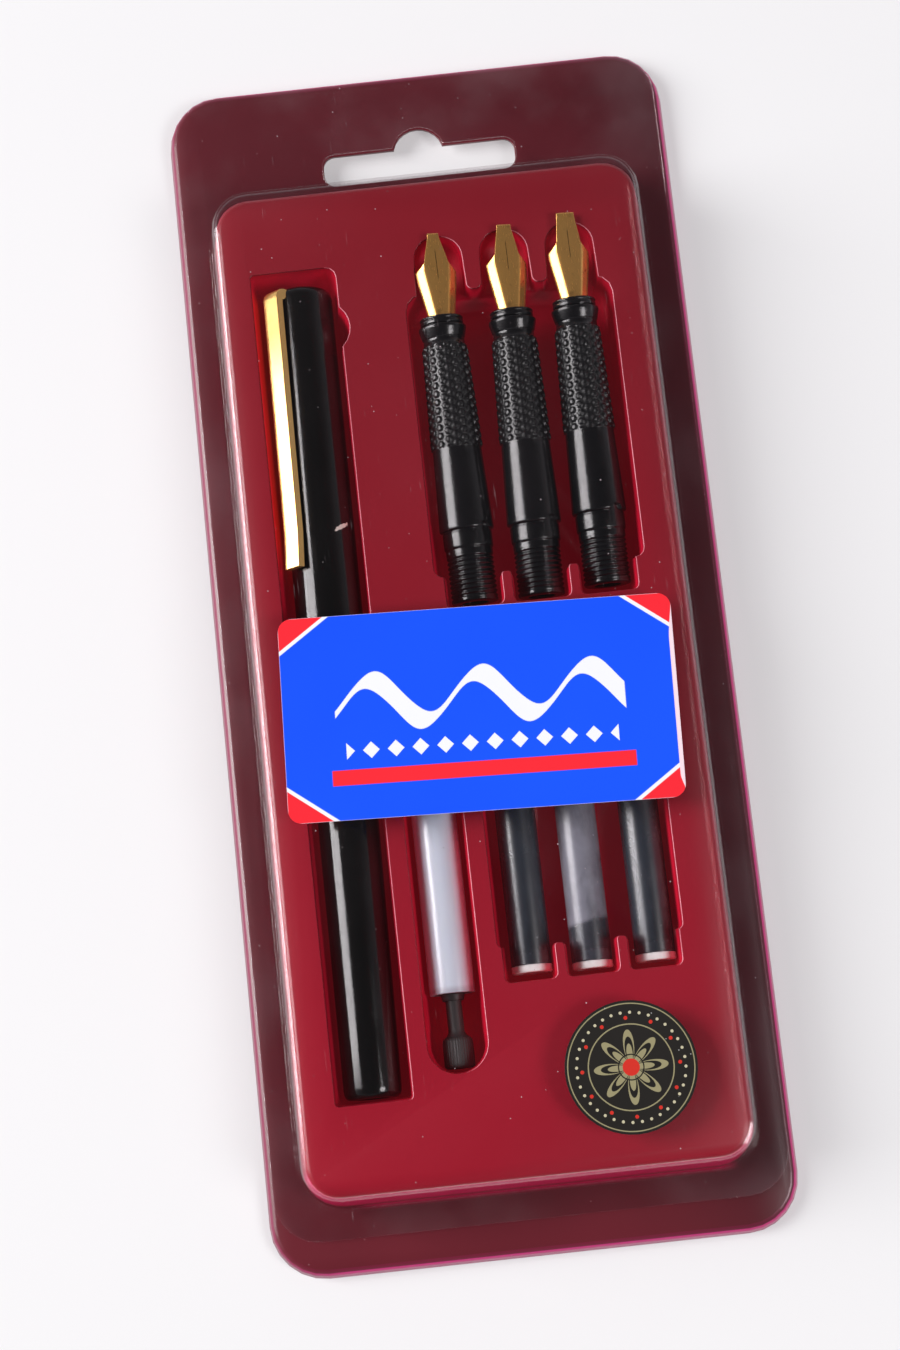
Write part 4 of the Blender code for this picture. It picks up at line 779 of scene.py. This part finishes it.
def section_looks(name):
    """Black plastic, duller on the grip."""
    looks = Looks(name)
    tone = looks.blend(looks.noise(6, 3), linear(17, 17, 19), linear(12, 12, 14))
    looks.set("Base Color", tone)
    f = SECTION - looks.z
    grip = f.step(22.7, 22.3) * f.step(4.7, 5.1)
    looks.set("Roughness", looks.noise(3, 3).step(0.3, 0.7, 0.18, 0.23) + grip * 0.13)
    looks.bump(looks.noise(1.2, 3), 0.006)
    return looks


def nib_looks(name, tip):
    """Brushed gold, worn in spots, with the slit behind a tip that ends at tip millimetres."""
    looks = Looks(name, metallic=0.72)
    lines = looks.noise(0.10, 3, stretch=(1, 1, 0.05))
    gold, dark = linear(240, 186, 104), linear(208, 154, 86)
    tint = looks.blend(lines.step(0.25, 0.75) * 0.5, gold, dark)
    back = tip - looks.z
    slit = looks.x.abs().within(0.055, 0.05) * back.step(2.5, 3.3) * back.step(8.2, 7.4)
    tint = looks.blend(slit * 0.85, tint, (0.012, 0.008, 0.004))
    worn = looks.noise(1.4, 3).step(0.62, 0.72) * 0.4
    tint = looks.blend(worn, tint, linear(120, 84, 50))
    looks.set("Base Color", tint)
    looks.set("Roughness", lines.step(0.25, 0.75, 0.18, 0.28))
    looks.bump(lines, 0.004, 0.6)
    return looks


# Converter and cartridges


def build_converter():
    milky = Looks("milky_tube", Subsurface_Weight=0.35, Coat_Weight=0.8, Coat_Roughness=0.16)
    milky.shader.inputs["Subsurface Radius"].default_value = (0.9 * MM, 0.9 * MM, 1.1 * MM)
    milky.shader.inputs["Subsurface Scale"].default_value = 1.0
    tone = milky.blend(milky.noise(9, 2), linear(218, 224, 238), linear(208, 216, 232))
    # Painted shade: the tube is darker towards its foot end
    tone = milky.blend(milky.z.step(13.4, 12.3) * 0.5, tone, linear(140, 130, 140))
    milky.set("Base Color", tone)
    milky.set("Roughness", milky.noise(5, 3).step(0.3, 0.7, 0.3, 0.4))
    milky.bump(milky.noise(5, 2), 0.005)
    lathe(
        "converter_barrel",
        [(3.1, 12.0), (3.1, 62.0), (3.7, 62.0, 0.15), (3.7, 12.0, 0.2), (3.1, 12.0)],
        CONVERTER, milky, "box", "converter_tube",
    )
    black = black_looks("converter_black", (52, 48, 48), 0.42)
    lathe(
        "converter_collar",
        [
            (1.5, 10.9), (1.5, 14.5), (3.02, 14.5), (3.02, 12.08), (2.0, 11.92, 0.1),
            (1.7, 10.9, 0.1), (1.5, 10.9),
        ],
        CONVERTER, black, "box", "converter_bush",
    )
    lathe(
        "converter_nozzle",
        [
            (1.4, 58), (1.4, 69.08), (2.9, 69.08, 0.2), (3.5, 62.08, 0.2), (3.02, 62.08),
            (3.02, 58), (1.4, 58),
        ],
        CONVERTER, black, "box", "converter_mouth",
    )
    lathe(
        "converter_rod",
        [
            (0, 24), (1.3, 24), (1.3, 5.9, 0.3), (1.6, 5.3, 0.3), (2.45, 4.75, 0.5), (2.5, 2.4),
            (2.5, 0.05, 0.7), (0.9, 0, 0.1), (0.8, 0.4, 0.1), (0, 0.4),
        ],
        CONVERTER, knob_looks(), "plunger", "converter_plunger",
    )
    rubber = Looks("grey_rubber", roughness=0.6)
    tone = rubber.blend(rubber.noise(2, 3), linear(110, 110, 114), linear(96, 96, 100))
    rubber.set("Base Color", tone)
    lathe(
        "converter_seal",
        [
            (0, 30.3), (3.02, 30.3, 0.15), (3.02, 28.8, 0.15), (2.48, 28.8), (2.48, 25.8),
            (3.02, 25.8, 0.15), (3.02, 24.3, 0.15), (0, 24.3),
        ],
        CONVERTER, rubber, "plunger", "converter_piston",
    )


def knob_looks():
    """Matt black with fine lengthwise ribs round the knob."""
    looks = Looks("knob_black", roughness=0.5)
    tone = looks.blend(looks.noise(2, 4), linear(62, 58, 58), linear(50, 47, 47))
    looks.set("Base Color", tone)
    angle = looks.y.math("ARCTAN2", looks.x)
    ribs = (angle * 36).cos() * looks.z.step(5.0, 4.6) * looks.z.step(0.5, 0.9)
    looks.bump(ribs * 0.5 + looks.noise(0.3, 2) * 0.3, 0.05)
    return looks


def smoky_looks(name, tone, clear, level=None):
    """A smoky tube: part of it lets through, with a film of ink drying inside in blotches.

    Below level millimetres along it, where one is given, the ink inside shows.
    """
    looks = Looks(name, Coat_Weight=0.75, Coat_Roughness=0.27, IOR=1.6)
    film = looks.noise(5, 4, 0.6, (1, 1, 0.35)).step(0.42, 0.66)
    colour = looks.blend(film, linear(*tone), linear(*(c * 0.72 for c in tone)))
    if level:
        lies = (looks.z - looks.x * 0.18).step(level + 0.5, level - 0.5)
        colour = looks.blend(lies * 0.85, colour, linear(40, 44, 54))
    looks.set("Base Color", colour)
    looks.set("Roughness", looks.noise(2.2, 3, stretch=(1, 1, 0.3)).step(0.3, 0.7, 0.3, 0.4))
    looks.bump(looks.noise(3, 3, stretch=(1, 1, 0.3)), 0.004)
    spots = looks.specks(1.3, 0.12, 0.16)
    amount = looks.noise(4, 3).step(0.3, 0.7, clear + 0.08, clear - 0.08) * (1 - spots)
    through = looks.new("ShaderNodeBsdfTransparent", Color=(0.80, 0.82, 0.88, 1))
    looks.mixed(amount, looks.shader.outputs[0], through.outputs[0])
    return looks


# x and y of each foot, how full it is, and its tube: tone, clearness, where its ink shows
FULL, NEARLY_EMPTY = ((50, 56, 66), 0.3, None), ((156, 156, 168), 0.42, 7.6)
CARTRIDGES = (
    (3.8, -56.7, 0.99, FULL), (13.6, -57.1, 0.27, NEARLY_EMPTY), (23.9, -56.9, 0.99, FULL),
)
INK_FOOT, INK_REACH = 3.3, 28.2


def build_cartridges():
    ink = Looks("ink_black", roughness=0.12)
    ink.set("Base Color", ink.blend(ink.noise(4, 3), linear(24, 26, 34), linear(12, 13, 18)))
    ink.bump(ink.noise(3, 2), 0.01)
    white = Looks("plug_white", roughness=0.38, Subsurface_Weight=0.2)
    white.shader.inputs["Subsurface Radius"].default_value = (0.5 * MM, 0.5 * MM, 0.5 * MM)
    white.shader.inputs["Subsurface Scale"].default_value = 1.0
    tone = white.blend(white.noise(1.2, 3), linear(250, 249, 247), linear(240, 237, 236))
    white.set("Base Color", tone)
    white.bump(white.noise(0.8, 2), 0.01)
    bead = Looks("bead_glass", colour=linear(214, 218, 222), roughness=0.06, Coat_Weight=0.5)
    bead.bump(bead.noise(1, 2), 0.004)
    for i, (x, y, share, tube) in enumerate(CARTRIDGES):
        number = i + 1
        place = lying(x, y, CARTRIDGE_AXIS)
        lathe(
            f"cartridge_tube_{number}",
            [
                (2.85, 1.28), (2.85, 31.5), (1.55, 33.5), (1.55, 38), (2.0, 38, 0.15),
                (2.0, 33.9, 0.2), (3.3, 31.9, 0.5), (3.3, 1.28, 0.1), (2.85, 1.28),
            ],
            place, smoky_looks(f"smoky_{number}", *tube), "box", f"cartridge_body_{number}",
        )
        lathe(
            f"cartridge_stopper_{number}",
            [
                (0, 3.0), (2.77, 3.0), (2.77, 1.2), (3.3, 1.2, 0.12), (3.3, 0, 0.3),
                (2.3, 0, 0.1), (2.2, 0.3, 0.1), (0, 0.3),
            ],
            place, white, "box", f"cartridge_plug_{number}",
        )
        top = INK_FOOT + INK_REACH * share
        lathe(
            f"cartridge_fill_{number}",
            [
                (0, top - 0.3), (2.0, top - 0.2), (2.77, top), (2.77, INK_FOOT, 0.2),
                (0, INK_FOOT),
            ],
            place, ink, "box", f"cartridge_ink_{number}",
        )
        wear(NODES[f"cartridge_ball_{number}"], bead)
        soften(NODES[f"cartridge_ball_{number}"], 0.02, 1, 80)


# Light, floor and camera


def area(name, place, aim, size, radiance, length):
    """A soft box of size by length metres that gives the same radiance whatever its size."""
    light = bpy.data.lights.new(name, "AREA")
    light.shape = "RECTANGLE"
    light.size = size
    light.size_y = length
    light.energy = radiance * math.pi * light.size * light.size_y
    obj = bpy.data.objects.new(name, light)
    bpy.context.scene.collection.objects.link(obj)
    obj.location = place
    obj.rotation_euler = (Vector(aim) - Vector(place)).to_track_quat("-Z", "Y").to_euler()


def seen_ray(tree):
    """1 on rays that the camera, a reflection or clear plastic sees, 0 on rays that light."""
    rays = tree.nodes.new("ShaderNodeLightPath")
    seen = Value(tree, rays.outputs["Is Camera Ray"])
    for kind in ("Is Glossy Ray", "Is Transmission Ray"):
        seen = seen.most(Value(tree, rays.outputs[kind]))
    return seen


# The camera: its own X, Y and Z in the scene, and its place in metres
CAMERA_AXES = ((0.9942, -0.1059, -0.0203), (0.1078, 0.9768, 0.1849), (0.0002, -0.186, 0.9825))
CAMERA_PLACE = (-0.004208, -0.089436, 0.445810)


def stage():
    """World, floor, two soft boxes and the camera."""
    scene = bpy.context.scene
    scene.view_settings.view_transform = "Standard"
    world = bpy.data.worlds.new("studio")
    scene.world = world
    world.use_nodes = True
    background = world.node_tree.nodes["Background"]
    tree = world.node_tree
    coords = tree.nodes.new("ShaderNodeTexCoord")
    split = tree.nodes.new("ShaderNodeSeparateXYZ")
    tree.links.new(coords.outputs["Generated"], split.inputs[0])
    height = Value(tree, split.outputs[2])
    strength = height.step(0.25, 0.85, 0.42, 0.05)
    strength = strength + seen_ray(tree) * height.step(0.2, 0.05, 0.0, 0.55)
    tree.links.new(strength.socket, background.inputs[1])
    background.inputs[0].default_value = (0.95, 0.95, 1.0, 1)

    bm = bmesh.new()
    bmesh.ops.create_grid(bm, x_segments=24, y_segments=24, size=6)
    mesh = bpy.data.meshes.new("floor")
    bm.to_mesh(mesh)
    bm.free()
    floor = bpy.data.objects.new("floor", mesh)
    scene.collection.objects.link(floor)
    floor.location = (0, 0, -0.00005)
    looks = Looks("floor_white", roughness=0.55)
    reach = (looks.x * looks.x + looks.y * looks.y).sqrt()
    looks.set("Emission Strength", seen_ray(looks.tree) * reach.step(500, 1800, 0.38, 0.66))
    looks.set("Emission Color", (0.99, 0.965, 0.985, 1))
    tone = looks.blend(looks.noise(300, 2), (0.48, 0.472, 0.482), (0.51, 0.505, 0.51))
    looks.set("Base Color", tone)
    wear(floor, looks)

    area("left_box", (-1.47, 0.35, 0.85), (0.0, 0.35, 0.0), 0.95, 13.0, 1.20)
    area("right_box", (0.76, -0.38, 0.84), (0.01, 0.05, 0.0), 0.40, 12.0, 0.40)

    camera = bpy.data.cameras.new("camera")
    obj = bpy.data.objects.new("camera", camera)
    scene.collection.objects.link(obj)
    turn = Matrix(CAMERA_AXES).transposed().to_4x4()
    obj.matrix_world = Matrix.Translation(CAMERA_PLACE) @ turn
    camera.lens = 72
    camera.sensor_width = 36
    camera.clip_start = 0.01
    scene.camera = obj


# Dressing


def main():
    wear(NODES["tray"], tray_looks())
    soften(NODES["tray"], 0.2, angle=50, bands=(FLANGE_RIM, ISLAND_RIM), merge=0.08)
    wear(NODES["clear_cover"], cover_looks())
    soften(NODES["clear_cover"], 0.14)
    wear(NODES["front_label"], label_looks())
    soften(NODES["front_label"], 0.03, 2)
    wear(NODES["round_sticker"], seal_looks())
    soften(NODES["round_sticker"], 0.03, 2)
    build_pen()
    build_sections()
    build_converter()
    build_cartridges()
    stage()


main()
